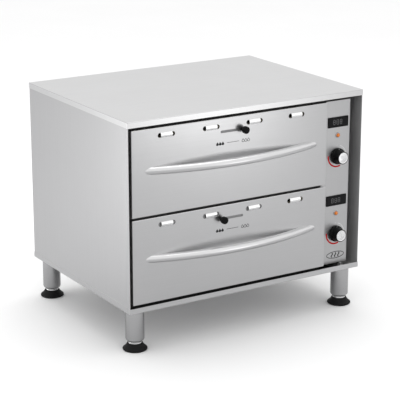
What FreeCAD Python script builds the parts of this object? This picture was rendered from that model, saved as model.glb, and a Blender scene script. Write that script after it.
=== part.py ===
"""Two-drawer food holding cabinet: a freestanding stainless-steel warmer on four adjustable legs.

Millimetres, +Z up, front towards -Y. The origin is on the floor, under the middle of the whole object.
Every size is a cell of the sheet "dims"; every object reads its sizes and place from those cells.
"""

import FreeCAD, Part
import os
import re

import Sketcher

from FreeCAD import Placement, Rotation, Vector

# ---------------------------------------------------------------- driving dimensions

DIMS = {
    # casing
    "body_width": 750,          # over the lips of lid and tray
    "body_depth": 572,
    "body_height": 520,         # from the tray's underside to the top of the lid
    "leg_height": 115,          # from the floor to the tray's underside
    "skin": 1.2,                # sheet of lid, tray, front frame and control panel
    "wall": 1.0,                # sheet of side and back panels, chambers and control box
    "lid_lip": 16,
    "tray_lip": 15,
    "bend": 1.5,                # outer radius of a folded edge
    "fit_gap": 0.2,             # clearance between sheets that fit into each other
    "pin_play": 0.05,           # radial clearance of a fitted pin, thread or barrel
    "panel_flange": 14,         # turned-in edge of a side panel
    # legs
    "leg_inset_x": 36,          # leg axis from the casing's side
    "leg_inset_y": 39,          # leg axis from the casing's front or back
    "leg_radius": 25.5,
    "leg_wall": 1.5,
    "leg_shoulder": 7,          # radius of the rolled-in lower edge
    "leg_plate": 3,             # top plate of a leg
    "stud_radius": 5,
    "stud_length": 16,          # above the leg's top plate
    "hole_play": 0.5,           # radial play of a stud or screw in its hole
    "stem_radius": 18.5,        # adjustable insert of a leg
    "stem_play": 0.3,
    "stem_top_play": 6,         # between the insert's top and the leg's top plate
    "foot_gap": 7,              # bare insert between leg and foot pad
    "pad_height": 19,
    "pad_radius": 33.5,
    "pad_rim": 5,               # height of the pad's widest ring
    "pad_sole": 31,             # radius of the sole on the floor
    "pad_socket": 8,            # depth of the insert in the pad
    "nut_radius": 9,
    "nut_height": 8,
    # drawer fronts
    "front_left": 11,           # casing side to the drawer front
    "front_right": 121.5,       # drawer front to the casing's right side
    "front_low": 23,            # tray underside to the lower drawer front
    "front_high": 23.5,         # upper drawer front to the lid's top
    "front_gap": 6.5,           # between the two drawer fronts
    "frame_setback": 21,        # casing's front plane to the front frame
    "gasket_edge": 1.5,         # drawer front's edge to the gasket
    "gasket_width": 10,
    "gasket_play": 0.2,         # closed gasket to the front frame
    "front_overhang": 24,       # drawer front past the gasket, towards the controls
    "liner_back": 19,           # casing's front plane to the back of a drawer liner
    # vents and damper of a drawer front
    "vent_pitch": 136.6,
    "vent_length": 52,
    "vent_height": 13,
    "vent_drop": 21.5,          # vent centres below the drawer front's top edge
    "bridge_length": 35,
    "bridge_rise": 3.2,
    "guide_length": 73,
    "guide_height": 7,
    "guide_drop": 37,           # guide slot below the drawer front's top edge
    "guide_offset": -3,
    "damper_travel": 66,
    "damper_sheet": 1,
    "damper_play": 0.5,
    "damper_margin": 6,         # damper strip past its outermost window
    "damper_rim": 5,            # damper strip above its windows and below its knob
    "rail_lip": 3,
    "stem_pin": 3,              # radius of the damper knob's stem
    "toggle_radius": 10,
    "toggle_neck": 5.5,
    "toggle_neck_length": 8,
    "toggle_length": 21,
    "toggle_gap": 0.6,          # knob to the drawer face
    # handle
    "handle_span": 544,         # tip to tip on the drawer front
    "handle_offset": 2.5,       # handle centre from the drawer front's centre
    "handle_bow": 38,           # tube centre in front of the drawer face, at mid span
    "handle_radius": 11,
    "handle_wall": 1.5,
    "handle_height": 120.5,     # tube centre above the drawer front's lower edge
    # heated chambers
    "chamber_margin": 1.5,      # gasket's inner edge to the chamber mouth
    "rear_space": 61.8,         # chamber's inside to the casing's back
    "insulation_top": 30,
    "insulation_side": 17,
    "insulation_rear": 46,
    "heater_radius": 4,
    "heater_lift": 12,          # heater axis above the chamber floor
    "heater_pitch": 90,         # between two passes of the heater
    "heater_inset": 60,         # U-bend ends from the chamber walls
    "heater_front": 95,         # first pass behind the front frame
    "heater_end": 12,           # heater end past the insulation
    "support_inset": 90,        # support rail's middle from the casing's front or back
    "support_width": 40,
    # carriage, pan and slides
    "slide_width": 12.7,
    "slide_height": 44,
    "slide_end": 52,            # slide's end to the chamber's back
    "slide_start": 6,           # behind the front frame
    "slide_sheet": 1.2,
    "slide_play": 0.8,
    "slide_level": 149,         # slide centre above the chamber floor
    "rail_height": 46,
    "rail_sheet": 1.5,
    "ledge": 13,                # turned-in support for the pan's rim
    "pan_width": 530,
    "pan_length": 325,
    "pan_depth": 150,
    "pan_sheet": 0.8,
    "pan_rim": 11,
    "pan_play": 3,              # pan wall to the ledge
    "pan_taper": 6,             # each wall leans in by this much over the depth
    "pan_corner": 36,
    "pan_floor_round": 16,
    "pan_front": 16,            # liner to the pan's rim
    # control side
    "panel_left": 124,          # control panel's hidden edge to the casing's right side
    "panel_right": 27,          # control panel's free edge to the casing's right side
    "panel_low": 17.5,          # tray underside to the control panel
    "panel_high": 26.5,         # control panel to the lid's top
    "panel_return": 15,
    "box_end": 94.8,            # control box to the casing's back
    "box_flange": 12,
    "control_x": 69,            # column of controls to the casing's right side
    "control_step": 12.8,       # pitch of the drawers less that of the controls
    "display_width": 69,
    "display_height": 29.5,
    "display_rim": 2.5,         # bezel in front of the panel
    "display_body": 3,          # body smaller than the bezel, each side
    "display_depth": 34,
    "display_level": 204.6,     # lower display above the tray's underside
    "lamp_level": 166.8,
    "lamp_bezel": 7.5,
    "lamp_barrel": 5,
    "lamp_rim": 2,
    "lamp_lens": 5.4,
    "lamp_reach": 6.5,
    "lamp_depth": 24,
    "knob_level": 106.6,
    "knob_radius": 23,
    "knob_skirt": 6,
    "knob_grip": 17.5,
    "knob_length": 27,
    "knob_standoff": 3,
    "knob_notch": 1.2,          # half width of the mark in the skirt
    "shaft_radius": 3,
    "shaft_depth": 18,          # shaft inside the knob
    "shaft_end_play": 1,
    "thermostat_width": 46,
    "thermostat_height": 40,
    "thermostat_depth": 26,
    "bush_radius": 5,
    "bush_reach": 2,            # bush in front of the panel
    "capillary_radius": 1.2,
    "capillary_back": 40,       # behind the front frame
    "bulb_radius": 3,
    "bulb_length": 90,
    "bulb_level": 188,          # above the chamber floor
    "bulb_gap": 8,              # bulb's middle to the chamber wall
    # rear
    "screw_radius": 1.9,
    "screw_head": 3.8,
    "screw_head_height": 2.2,
    "screw_length": 8,
    "screw_edge": 30,           # outer screws from the panel's top and bottom
    "louvre_width": 70,
    "louvre_height": 5,
    "louvre_pitch": 16,
    "louvre_rows": 8,           # in each of the two fields
    "louvre_inset": 60,         # first row from the panel's top, last row from the gland
    "gland_height": 46,         # above the tray's underside
    "gland_bore": 5,
    "gland_thread": 10,
    "gland_nut": 14,
    "gland_flange": 6,
    "gland_reach": 24,          # behind the casing
    "gland_inside": 14,         # thread inside the casing
    "gland_dome": 9.5,          # radius of the clamping dome
}

# Derived places, in words that the formulas below use.
PLACES = {
    "left": "-body_width / 2",
    "right": "body_width / 2",
    "front": "(handle_bow + handle_radius - gland_reach - body_depth) / 2",
    "back": "front + body_depth",
    "base": "leg_height",
    "top": "leg_height + body_height",
    "inner_left": "left + skin + fit_gap + wall",
    "back_plate": "back - skin - fit_gap",
    "leg_x": "right - leg_inset_x",
    "leg_front": "front + leg_inset_y",
    "leg_back": "back - leg_inset_y",
    "leg_low": "pad_height + foot_gap",
    "drawer_left": "left + front_left",
    "drawer_right": "right - front_right",
    "front_width": "drawer_right - drawer_left",
    "front_height": "(body_height - front_low - front_high - front_gap) / 2",
    "drawer_pitch": "front_height + front_gap",
    "drawer_centre": "(drawer_left + drawer_right) / 2",
    "frame_face": "front + frame_setback",
    "frame_back": "frame_face + skin",
    "gasket_left": "drawer_left + gasket_edge",
    "gasket_right": "drawer_right - front_overhang",
    "mouth_left": "gasket_left + gasket_width + chamber_margin",
    "mouth_right": "gasket_right - gasket_width - chamber_margin",
    "mouth_edge": "gasket_edge + gasket_width + chamber_margin",
    "mouth_height": "front_height - 2 * mouth_edge",
    "front_bottom": "base + front_low",
    "mouth_bottom": "front_bottom + mouth_edge",
    "bay_centre": "(mouth_left + mouth_right) / 2",
    "chamber_back": "back - rear_space",
    "liner_face": "front + liner_back",
    "panel_x_low": "right - panel_left",
    "panel_x_high": "right - panel_right",
    "panel_z_low": "base + panel_low",
    "panel_z_high": "top - panel_high",
    "controls": "right - control_x",
    "control_pitch": "drawer_pitch - control_step",
    "box_back": "back - box_end",
    "arc_radius": "((handle_span / 2) ^ 2 + (handle_bow + handle_radius) ^ 2)"
                  " / (2 * (handle_bow + handle_radius))",
    "slide_low": "frame_back + slide_start",
    "slide_high": "chamber_back - slide_end",
    "slide_z": "mouth_bottom + slide_level",
    "carriage_left": "mouth_left + slide_width",
    "carriage_right": "mouth_right - slide_width",
    "ledge_z": "slide_z + rail_height / 2",
    "pan_left": "bay_centre - pan_width / 2",
    "pan_near": "liner_face + pan_front",
    "skin_back": "front + skin",
    "strip_near": "skin_back + damper_play",
    "strip_far": "strip_near + damper_sheet",
    "guide_x": "drawer_centre + guide_offset",
    "guide_z": "front_bottom + front_height - guide_drop",
    "vent_z": "front_bottom + front_height - vent_drop",
    "strip_low": "guide_z - stem_pin - damper_rim",
    "strip_high": "vent_z + vent_height / 2 + damper_rim",
    "jacket_low": "mouth_bottom - wall - insulation_side",
    "jacket_step": "mouth_height + 2 * wall + insulation_top",
    "heater_low": "frame_back + heater_front",
    "heater_z": "mouth_bottom + heater_lift",
    "heater_left": "mouth_left + heater_inset + heater_pitch / 2",
    "heater_right": "mouth_right - heater_inset - heater_pitch / 2",
    "capillary_y": "frame_back + capillary_back",
    "bulb_z": "mouth_bottom + bulb_level",
    "bulb_x": "mouth_right - bulb_gap",
    "gland_z": "base + gland_height",
    "side_face": "right - skin - fit_gap",
}

WORDS = re.compile(r"[a-z][a-z_]*")


def formula(text):
    """The words of a formula as references to the sheet, with derived places written out."""

    def reference(match):
        word = match.group()
        if word in PLACES:
            return "(" + formula(PLACES[word]) + ")"
        return "dims." + word if word in DIMS else word

    return WORDS.sub(reference, str(text))


# ---------------------------------------------------------------- document, sheet and small helpers

doc = FreeCAD.newDocument("holding_cabinet")
sheet = doc.addObject("Spreadsheet::Sheet", "dims")
for row, (alias, value) in enumerate(DIMS.items(), 1):
    sheet.set(f"A{row}", alias)
    sheet.set(f"B{row}", str(value))
    sheet.setAlias(f"B{row}", alias)
doc.recompute()

ALONG = {
    "x": Rotation(Vector(0, 1, 0), 90),
    "y": Rotation(Vector(1, 0, 0), -90),
    "z": Rotation(),
}
sub_parts = []


def bind(item, **formulas):
    """Bind properties to formulas; a double underscore in a name stands for a dot."""
    for name, text in formulas.items():
        item.setExpression(name.replace("__", "."), formula(text))
    return item


def at(item, x, y, z, rotation=None):
    """Place an object; its position follows the sheet."""
    item.Placement = Placement(Vector(), rotation or Rotation())
    return bind(item, Placement__Base__x=x, Placement__Base__y=y, Placement__Base__z=z)


def box(x, y, z):
    """A block between two formulas on each axis."""
    item = doc.addObject("Part::Box", "block")
    bind(item, Length=f"({x[1]}) - ({x[0]})", Width=f"({y[1]}) - ({y[0]})", Height=f"({z[1]}) - ({z[0]})")
    return at(item, x[0], y[0], z[0])


def cylinder(axis, radius, x, y, z):
    """A cylinder along an axis: that axis gets (low, high), the other two get the centre."""
    item = doc.addObject("Part::Cylinder", "rod")
    places = {"x": x, "y": y, "z": z}
    low, high = places[axis]
    bind(item, Radius=radius, Height=f"({high}) - ({low})")
    places[axis] = low
    return at(item, places["x"], places["y"], places["z"], ALONG[axis])


def cone(axis, radii, x, y, z):
    """A cone along an axis, with the radius at its low and at its high end."""
    item = doc.addObject("Part::Cone", "taper")
    places = {"x": x, "y": y, "z": z}
    low, high = places[axis]
    bind(item, Radius1=radii[0], Radius2=radii[1], Height=f"({high}) - ({low})")
    places[axis] = low
    return at(item, places["x"], places["y"], places["z"], ALONG[axis])


def fuse(*items):
    """The union of several objects, or one object as it is."""
    if len(items) == 1:
        return items[0]
    made = doc.addObject("Part::MultiFuse", "joined")
    made.Shapes = list(items)
    return made


def cut(item, *tools):
    """An object with the tools taken away."""
    made = doc.addObject("Part::Cut", "cut")
    made.Base = item
    made.Tool = fuse(*tools)
    return made


def common(first, second):
    """What two objects share."""
    made = doc.addObject("Part::Common", "shared")
    made.Base = first
    made.Tool = second
    return made


def group(*items):
    """Several separate solids that share one node."""
    made = doc.addObject("Part::Compound", "group")
    made.Links = list(items)
    return made


def rounded(item, radius, chosen):
    """An object with the chosen edges rounded; chosen tells them by their geometry."""
    doc.recompute()
    edges = [n for n, edge in enumerate(item.Shape.Edges, 1) if chosen(edge)]
    size = sheet.get(radius)
    made = doc.addObject("Part::Fillet", "rounded")
    made.Base = item
    made.Edges = [(n, size, size) for n in edges]
    return made


def sub_part(item, label):
    """Give a finished object its name and put it on the list of sub-parts."""
    item.Label = label
    sub_parts.append(item)
    return item


def runs_along(edge, axis):
    """Whether an edge is a straight line along an axis."""
    if not isinstance(edge.Curve, Part.Line):
        return False
    direction = edge.Curve.Direction
    return abs(abs(getattr(direction, axis)) - 1) < 1e-6


# ---------------------------------------------------------------- sketched bodies


def plane_of(body, role):
    """One of a body's own origin planes."""
    return next(feature for feature in body.Origin.OriginFeatures if feature.Role == role)


def sketch_on(body, role, lift="0"):
    """An empty sketch on an origin plane, lifted along the plane's normal."""
    sketch = body.newObject("Sketcher::SketchObject", "outline")
    sketch.AttachmentSupport = (plane_of(body, role), [""])
    sketch.MapMode = "FlatFace"
    return bind(sketch, AttachmentOffset__Base__z=lift)


def outline(sketch, points):
    """A closed polygon whose corners follow formulas. A coordinate of "0" lies on the sketch's axis."""
    rough = [
        Vector(*(0 if part == "0" else doc_value(part) for part in point), 0)
        for point in points
    ]
    count = len(points)
    for n in range(count):
        sketch.addGeometry(Part.LineSegment(rough[n], rough[(n + 1) % count]), False)
    for n in range(count):
        sketch.addConstraint(Sketcher.Constraint("Coincident", n, 2, (n + 1) % count, 1))
    for n, point in enumerate(points):
        for axis, kind, line in ((0, "DistanceX", -2), (1, "DistanceY", -1)):
            if point[axis] == "0":
                sketch.addConstraint(Sketcher.Constraint("PointOnObject", n, 1, line))
            else:
                index = sketch.addConstraint(
                    Sketcher.Constraint(kind, -1, 1, n, 1, rough[n][axis])
                )
                sketch.setExpression(f"Constraints[{index}]", formula(point[axis]))
    return sketch


def doc_value(text):
    """A formula's present value, to draw a sketch near its solved shape."""
    probe = doc.addObject("App::FeaturePython", "probe")
    probe.addProperty("App::PropertyFloat", "value")
    probe.setExpression("value", formula(text))
    probe.recompute()
    value = probe.value
    doc.removeObject(probe.Name)
    return value


def rectangle(sketch, x, y):
    """A rectangle between two formulas on each axis of the sketch."""
    return outline(sketch, [(x[0], y[0]), (x[1], y[0]), (x[1], y[1]), (x[0], y[1])])


def folded_pan(name, width, length, depth, thickness):
    """A sheet folded up on all four sides: closed face at local z 0, open side at local z = depth."""
    body = doc.addObject("PartDesign::Body", name)
    outer = rectangle(sketch_on(body, "XY_Plane"), ("0", width), ("0", length))
    pad = body.newObject("PartDesign::Pad", "fold")
    pad.Profile = outer
    bind(pad, Length=depth)
    doc.recompute()
    edges = [
        f"Edge{n}"
        for n, edge in enumerate(pad.Shape.Edges, 1)
        if edge.BoundBox.ZMax < 1e-6 or runs_along(edge, "z")
    ]
    soft = body.newObject("PartDesign::Fillet", "bends")
    soft.Base = (pad, edges)
    bind(soft, Radius="bend")
    doc.recompute()
    inner = rectangle(
        sketch_on(body, "XY_Plane", thickness),
        (thickness, f"{width} - {thickness}"),
        (thickness, f"{length} - {thickness}"),
    )
    hollow = body.newObject("PartDesign::Pocket", "hollow")
    hollow.Profile = inner
    hollow.Reversed = True
    bind(hollow, Length=depth)
    doc.recompute()
    if hollow.Shape.Volume > 0.5 * pad.Shape.Volume:
        raise RuntimeError(f"{name}: the hollow cut nothing")
    body.Tip = hollow
    return body


def turned(name, axis_rotation, points):
    """A turned piece: a closed outline of (radius, height) pairs, spun about its own axis."""
    body = doc.addObject("PartDesign::Body", name)
    profile = outline(sketch_on(body, "XZ_Plane"), points)
    spin = body.newObject("PartDesign::Revolution", "spin")
    spin.Profile = profile
    spin.ReferenceAxis = (profile, ["V_Axis"])
    spin.Angle = 360
    body.Placement = Placement(Vector(), axis_rotation)
    doc.recompute()
    return body


def shell(x, y, z, wall_x, wall_y, wall_z):
    """A block less an inner block; each wall gives (low, high) thicknesses, "-1" for an open side."""
    inner = [
        (f"{place[0]} + {walls[0]}", f"{place[1]} - ({walls[1]})")
        for place, walls in zip((x, y, z), (wall_x, wall_y, wall_z))
    ]
    return cut(box(x, y, z), box(*inner))


def obround(x, z, length, height, y):
    """A cutter with round ends: a slot of the given length and height, through a range of y."""
    reach = f"({length} - {height}) / 2"
    middle = box((f"{x} - {reach}", f"{x} + {reach}"), y, (f"{z} - {height} / 2", f"{z} + {height} / 2"))
    ends = [cylinder("y", f"{height} / 2", f"{x} {sign} {reach}", y, z) for sign in "-+"]
    return fuse(middle, *ends)


# ---------------------------------------------------------------- casing

STOREYS = {"lower": 0, "upper": 1}
LEG_SPOTS = {
    "front_left": ("-leg_x", "leg_front"),
    "front_right": ("leg_x", "leg_front"),
    "back_left": ("-leg_x", "leg_back"),
    "back_right": ("leg_x", "leg_back"),
}
THROUGH = 5  # how far a cutter runs past the sheet that it cuts
SCREW_ROWS = 4


def lifted(z, storey, pitch="drawer_pitch"):
    """A height of the lower storey, raised to the given storey."""
    return f"{z} + {storey} * {pitch}"


def wall_sheet(name, inwards, face, y, z, flange):
    """An upright sheet whose top, bottom and rear edges are turned in; its front edge stays plain."""
    blank = folded_pan(name, f"{y[1]} - ({y[0]}) + {flange}", f"{z[1]} - ({z[0]})", flange, "wall")
    near = f"{y[0]} - {flange}"
    if inwards > 0:
        at(blank, face, near, z[0], Rotation(Vector(0, 1, 0), Vector(0, 0, 1), Vector(1, 0, 0)))
        across = (f"{face} - {THROUGH}", f"{face} + {flange} + {THROUGH}")
    else:
        at(blank, face, near, z[1], Rotation(Vector(0, 1, 0), Vector(0, 0, -1), Vector(-1, 0, 0)))
        across = (f"{face} - {flange} - {THROUGH}", f"{face} + {THROUGH}")
    waste = box(across, (f"{near} - {THROUGH}", y[0]), (f"{z[0]} - {THROUGH}", f"{z[1]} + {THROUGH}"))
    return cut(blank, waste)


def top_panel():
    """Lid: a sheet folded down on all four sides."""
    lid = folded_pan("lid", "body_width", "body_depth", "lid_lip", "skin")
    return at(lid, "left", "back", "top", Rotation(Vector(1, 0, 0), 180))


def bottom_tray():
    """Tray: a sheet folded up on all four sides, with a hole for each leg's stud."""
    tray = at(folded_pan("tray", "body_width", "body_depth", "tray_lip", "skin"), "left", "front", "base")
    hole = ("base - 1", "base + skin + 1")
    return cut(tray, *[cylinder("z", "stud_radius + hole_play", x, y, hole) for x, y in LEG_SPOTS.values()])


def screw_spots():
    """Screws of the back panel: a column on each side, through the turned-in edge of a side panel."""
    step = f"(body_height - 2 * screw_edge) / {SCREW_ROWS - 1}"
    for side in "-+":
        for row in range(SCREW_ROWS):
            yield f"0 {side} (side_face - panel_flange / 2)", f"base + screw_edge + {row} * {step}"


def side_panel(side):
    """Side wall between the lips of tray and lid."""
    y = ("front + skin + fit_gap", "back_plate - wall")
    z = ("base + skin", "top - skin")
    face = "side_face" if side == "right" else "-side_face"
    panel = wall_sheet(f"{side}_wall", 1 if side == "left" else -1, face, y, z, "panel_flange")
    column = [spot for spot in screw_spots() if spot[0].startswith("0 +") == (side == "right")]
    holes = [
        cylinder("y", "screw_radius + pin_play", x, ("back_plate - 3 * wall", "back_plate"), height)
        for x, height in column
    ]
    return cut(panel, *holes)


def back_panel():
    """Back sheet with two fields of cooling slots, the gland's hole and screw holes."""
    y = ("back_plate - wall", "back_plate")
    through = (f"{y[0]} - 1", f"{y[1]} + 1")
    plate = box(("-side_face", "side_face"), y, ("base + skin", "top - skin"))
    x = ("controls - louvre_width / 2", "controls + louvre_width / 2")
    slots = []
    for row in range(int(sheet.louvre_rows)):
        for z in (f"top - louvre_inset - {row} * louvre_pitch",
                  f"gland_z + louvre_inset + {row} * louvre_pitch"):
            slots.append(box(x, through, (z, f"{z} + louvre_height")))
    gland_hole = cylinder("y", "gland_thread + pin_play", "controls", through, "gland_z")
    holes = [cylinder("y", "screw_radius + pin_play", x, through, z) for x, z in screw_spots()]
    return cut(plate, gland_hole, *slots, *holes)


def back_panel_screws():
    """Pan-head screws that hold the back panel, eight separate solids."""
    screws = []
    for x, z in screw_spots():
        shank = cylinder("y", "screw_radius", x, ("back_plate - screw_length", "back_plate"), z)
        head = cylinder("y", "screw_head", x, ("back_plate", "back_plate + screw_head_height"), z)
        screws.append(fuse(shank, head))
    return group(*screws)


def front_frame():
    """Upright sheet behind the drawer fronts, with two mouths and its sides turned back."""
    x = ("inner_left + fit_gap", "panel_x_low - fit_gap")
    z = ("base + skin + wall + fit_gap", "top - skin - wall - fit_gap")
    returns = ("frame_face", "frame_face + panel_return")
    plate = box(x, ("frame_face", "frame_back"), z)
    left_return = box((x[0], f"{x[0]} + skin"), returns, z)
    right_return = box((f"{x[1]} - skin", x[1]), returns, z)
    mouths = [
        box(("mouth_left", "mouth_right"), ("frame_face - 1", "frame_back + 1"),
            (lifted("mouth_bottom", n), lifted("mouth_bottom + mouth_height", n)))
        for n in STOREYS.values()
    ]
    return cut(fuse(plate, left_return, right_return), *mouths)


def control_panel():
    """Upright sheet beside the drawers, folded back on all four sides, with the controls' cut-outs."""
    sheet_metal = folded_pan("controls_sheet", "panel_left - panel_right", "panel_z_high - panel_z_low",
                             "panel_return", "skin")
    at(sheet_metal, "panel_x_low", "frame_face", "panel_z_high", ALONG["y"])
    through = ("frame_face - 1", "frame_back + 1")
    cut_outs = []
    for n in STOREYS.values():
        display = lifted("base + display_level", n, "control_pitch")
        half_width = "(display_width / 2 - display_body + fit_gap)"
        half_height = "(display_height / 2 - display_body + fit_gap)"
        cut_outs += [
            box((f"controls - {half_width}", f"controls + {half_width}"), through,
                (f"{display} - {half_height}", f"{display} + {half_height}")),
            cylinder("y", "lamp_barrel + fit_gap", "controls", through,
                     lifted("base + lamp_level", n, "control_pitch")),
            cylinder("y", "bush_radius + fit_gap", "controls", through,
                     lifted("base + knob_level", n, "control_pitch")),
        ]
    return cut(sheet_metal, *cut_outs)


def control_box():
    """Wall between the controls and the cooling duct beside the right-hand side panel."""
    face = "panel_x_high - skin - fit_gap"
    z = ("panel_z_low + skin + fit_gap", "panel_z_high - skin - fit_gap")
    return wall_sheet("controls_wall", -1, face, ("frame_back", "box_back"), z, "box_flange")


def cable_gland():
    """Gland for the supply cable: thread through the back panel, hexagon and clamping dome."""
    hexagon = doc.addObject("Part::Prism", "hexagon")
    hexagon.Polygon = 6
    bind(hexagon, Circumradius="gland_nut", Height="gland_flange")
    at(hexagon, "controls", "back_plate", "gland_z", ALONG["y"])
    tip = "back + gland_reach"
    dome = cone("y", ("gland_thread + 1", "gland_dome"), "controls", ("back_plate", tip), "gland_z")
    thread = cylinder("y", "gland_thread", "controls", ("back_plate - gland_inside", "back_plate"), "gland_z")
    bore = cylinder("y", "gland_bore", "controls", ("back_plate - gland_inside - 1", f"{tip} + 1"), "gland_z")
    return cut(fuse(hexagon, dome, thread), bore)


def support_rails():
    """Two inverted channels that carry the lower chamber's insulation over the tray."""
    rails = []
    for middle in ("front + support_inset", "back - support_inset"):
        y = (f"{middle} - support_width / 2", f"{middle} + support_width / 2")
        rails.append(shell(("mouth_left", "mouth_right"), y, ("base + skin", "jacket_low"),
                           ("-1", "-1"), ("rail_sheet", "rail_sheet"), ("-1", "rail_sheet")))
    return group(*rails)


# ---------------------------------------------------------------- legs and feet


def leg(x, y):
    """Tubular leg with a rolled-in lower edge, a welded top plate and a stud."""
    outer = rounded(cylinder("z", "leg_radius", x, y, ("leg_low", "base")), "leg_shoulder",
                    lambda edge: edge.BoundBox.ZMax < sheet.leg_height - 1)
    cavity = cylinder("z", "leg_radius - leg_wall", x, y, ("leg_low + leg_shoulder", "base - leg_plate"))
    throat = cone("z", ("stem_radius + stem_play", "leg_radius - leg_wall"), x, y,
                  ("leg_low + leg_wall", "leg_low + leg_shoulder"))
    mouth = cylinder("z", "stem_radius + stem_play", x, y, ("leg_low - 1", "leg_low + leg_shoulder"))
    stud = cylinder("z", "stud_radius", x, y, ("base", "base + stud_length"))
    return fuse(cut(outer, cavity, throat, mouth), stud)


def leg_nuts():
    """Nuts on the four studs, inside the tray."""
    nuts = []
    for x, y in LEG_SPOTS.values():
        blank = doc.addObject("Part::Prism", "nut")
        blank.Polygon = 6
        bind(blank, Circumradius="nut_radius", Height="nut_height")
        at(blank, x, y, "base + skin")
        nuts.append(cut(blank, cylinder("z", "stud_radius + pin_play", x, y,
                                        ("base", "base + skin + nut_height + 1"))))
    return group(*nuts)


def foot_stem(x, y):
    """Adjustable insert of a leg, closed at its foot."""
    z = ("pad_height - pad_socket", "base - leg_plate - stem_top_play")
    bore = cylinder("z", "stem_radius - 2 * leg_wall", x, y, (f"{z[0]} + leg_plate", f"{z[1]} + 1"))
    return cut(cylinder("z", "stem_radius", x, y, z), bore)


def foot_pad(x, y):
    """Rubber pad that flares out to a flat sole and holds the insert in a socket."""
    socket = "stem_radius + pin_play"
    floor = "pad_height - pad_socket"
    pad = turned("pad", Rotation(), [
        ("0", "0"), ("pad_sole", "0"), ("pad_radius", "pad_rim / 2"), ("pad_radius", "pad_rim"),
        (f"{socket} + leg_wall * 2", "pad_height"), (socket, "pad_height"), (socket, floor), ("0", floor),
    ])
    return at(pad, x, y, "0")


# ---------------------------------------------------------------- heated chambers


def mouth(n):
    """Lower and upper edge of a storey's mouth."""
    return lifted("mouth_bottom", n), lifted("mouth_bottom + mouth_height", n)


def heater_ends(n, radius, x):
    """Rods around the two straight ends of a storey's heater."""
    z = lifted("heater_z", n)
    return [cylinder("x", radius, x, f"heater_low + {step} * heater_pitch", z) for step in (0, 3)]


def chamber(n):
    """Heated chamber: a welded box that is open at the front."""
    z = mouth(n)
    x_wall = ("mouth_right - 1", "mouth_right + wall + 1")
    walls = shell(("mouth_left - wall", "mouth_right + wall"), ("frame_back", "chamber_back + wall"),
                  (f"{z[0]} - wall", f"{z[1]} + wall"), ("wall", "wall"), ("-1", "wall"), ("wall", "wall"))
    bulb_hole = cylinder("x", "capillary_radius + fit_gap", x_wall, "capillary_y", lifted("bulb_z", n))
    return cut(walls, bulb_hole, *heater_ends(n, "heater_radius + pin_play", x_wall))


def chamber_insulation():
    """Mineral-wool jackets around the two chambers, one resting on the other."""
    jackets = []
    for n in STOREYS.values():
        z = mouth(n)
        inside = box(("mouth_left - wall", "mouth_right + wall"), ("frame_back - 1", "chamber_back + wall"),
                     (f"{z[0]} - wall", f"{z[1]} + wall"))
        low = "jacket_low" if n == 0 else "jacket_low + insulation_side + jacket_step"
        x = ("mouth_left - wall - insulation_side", "mouth_right + wall + insulation_side")
        block = box(x, ("frame_back", "chamber_back + wall + insulation_rear"),
                    (low, f"{z[1]} + wall + insulation_top"))
        x_wall = ("mouth_right", f"{x[1]} + 1")
        holes = heater_ends(n, "heater_radius + fit_gap", x_wall)
        holes.append(cylinder("x", "capillary_radius + fit_gap", x_wall, "capillary_y", lifted("bulb_z", n)))
        jackets.append(cut(block, inside, *holes))
    return group(*jackets)


def heater(n):
    """Tubular heater under the pan: four passes joined by three U-bends."""
    z = lifted("heater_z", n)
    end = "mouth_right + wall + insulation_side + heater_end"
    passes = [("heater_left", end), ("heater_left", "heater_right")] + \
             [("heater_left", "heater_right"), ("heater_left", end)]
    tube = [
        cylinder("x", "heater_radius", x, f"heater_low + {step} * heater_pitch", z)
        for step, x in enumerate(passes)
    ]
    for step, (x, turn) in enumerate((("heater_left", 90), ("heater_right", -90), ("heater_left", 90))):
        bow = doc.addObject("Part::Torus", "bow")
        bow.Angle3 = 180
        bind(bow, Radius1="heater_pitch / 2", Radius2="heater_radius")
        at(bow, x, f"heater_low + ({step} + 0.5) * heater_pitch", z, Rotation(Vector(0, 0, 1), turn))
        tube.append(bow)
    return fuse(*tube)


# ---------------------------------------------------------------- slides


def slide_member(n, side, near, far, height, back_side):
    """A C-section along the drawer's travel.

    near and far are its edges, measured from the chamber wall; back_side tells which of them is the web.
    """
    z = lifted("slide_z", n)
    z_range = (f"{z} - ({height}) / 2", f"{z} + ({height}) / 2")
    if side == "left":
        x = (f"mouth_left + {near}", f"mouth_left + {far}")
        web_low = back_side == "near"
    else:
        x = (f"mouth_right - ({far})", f"mouth_right - ({near})")
        web_low = back_side == "far"
    walls = ("slide_sheet", "-1") if web_low else ("-1", "slide_sheet")
    return shell(x, ("slide_low", "slide_high"), z_range, walls, ("-1", "-1"), ("slide_sheet", "slide_sheet"))


STEP_IN = "(slide_sheet + slide_play)"


def slide_outer_members():
    """Four outer slide members on the chamber walls."""
    return group(*[
        slide_member(n, side, "0", f"slide_width - {STEP_IN}", "slide_height", "near")
        for n in STOREYS.values() for side in ("left", "right")
    ])


def slide_middle_members(n):
    """The two intermediate slide members of a drawer."""
    return group(*[
        slide_member(n, side, STEP_IN, "slide_width - slide_sheet - slide_play",
                     f"slide_height - 2 * {STEP_IN}", "near")
        for side in ("left", "right")
    ])


def slide_inner_members(n):
    """The two inner slide members, fixed to the pan frame."""
    return group(*[
        slide_member(n, side, f"2 * {STEP_IN}", "slide_width", f"slide_height - 4 * {STEP_IN}", "far")
        for side in ("left", "right")
    ])


# ---------------------------------------------------------------- controls


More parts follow.
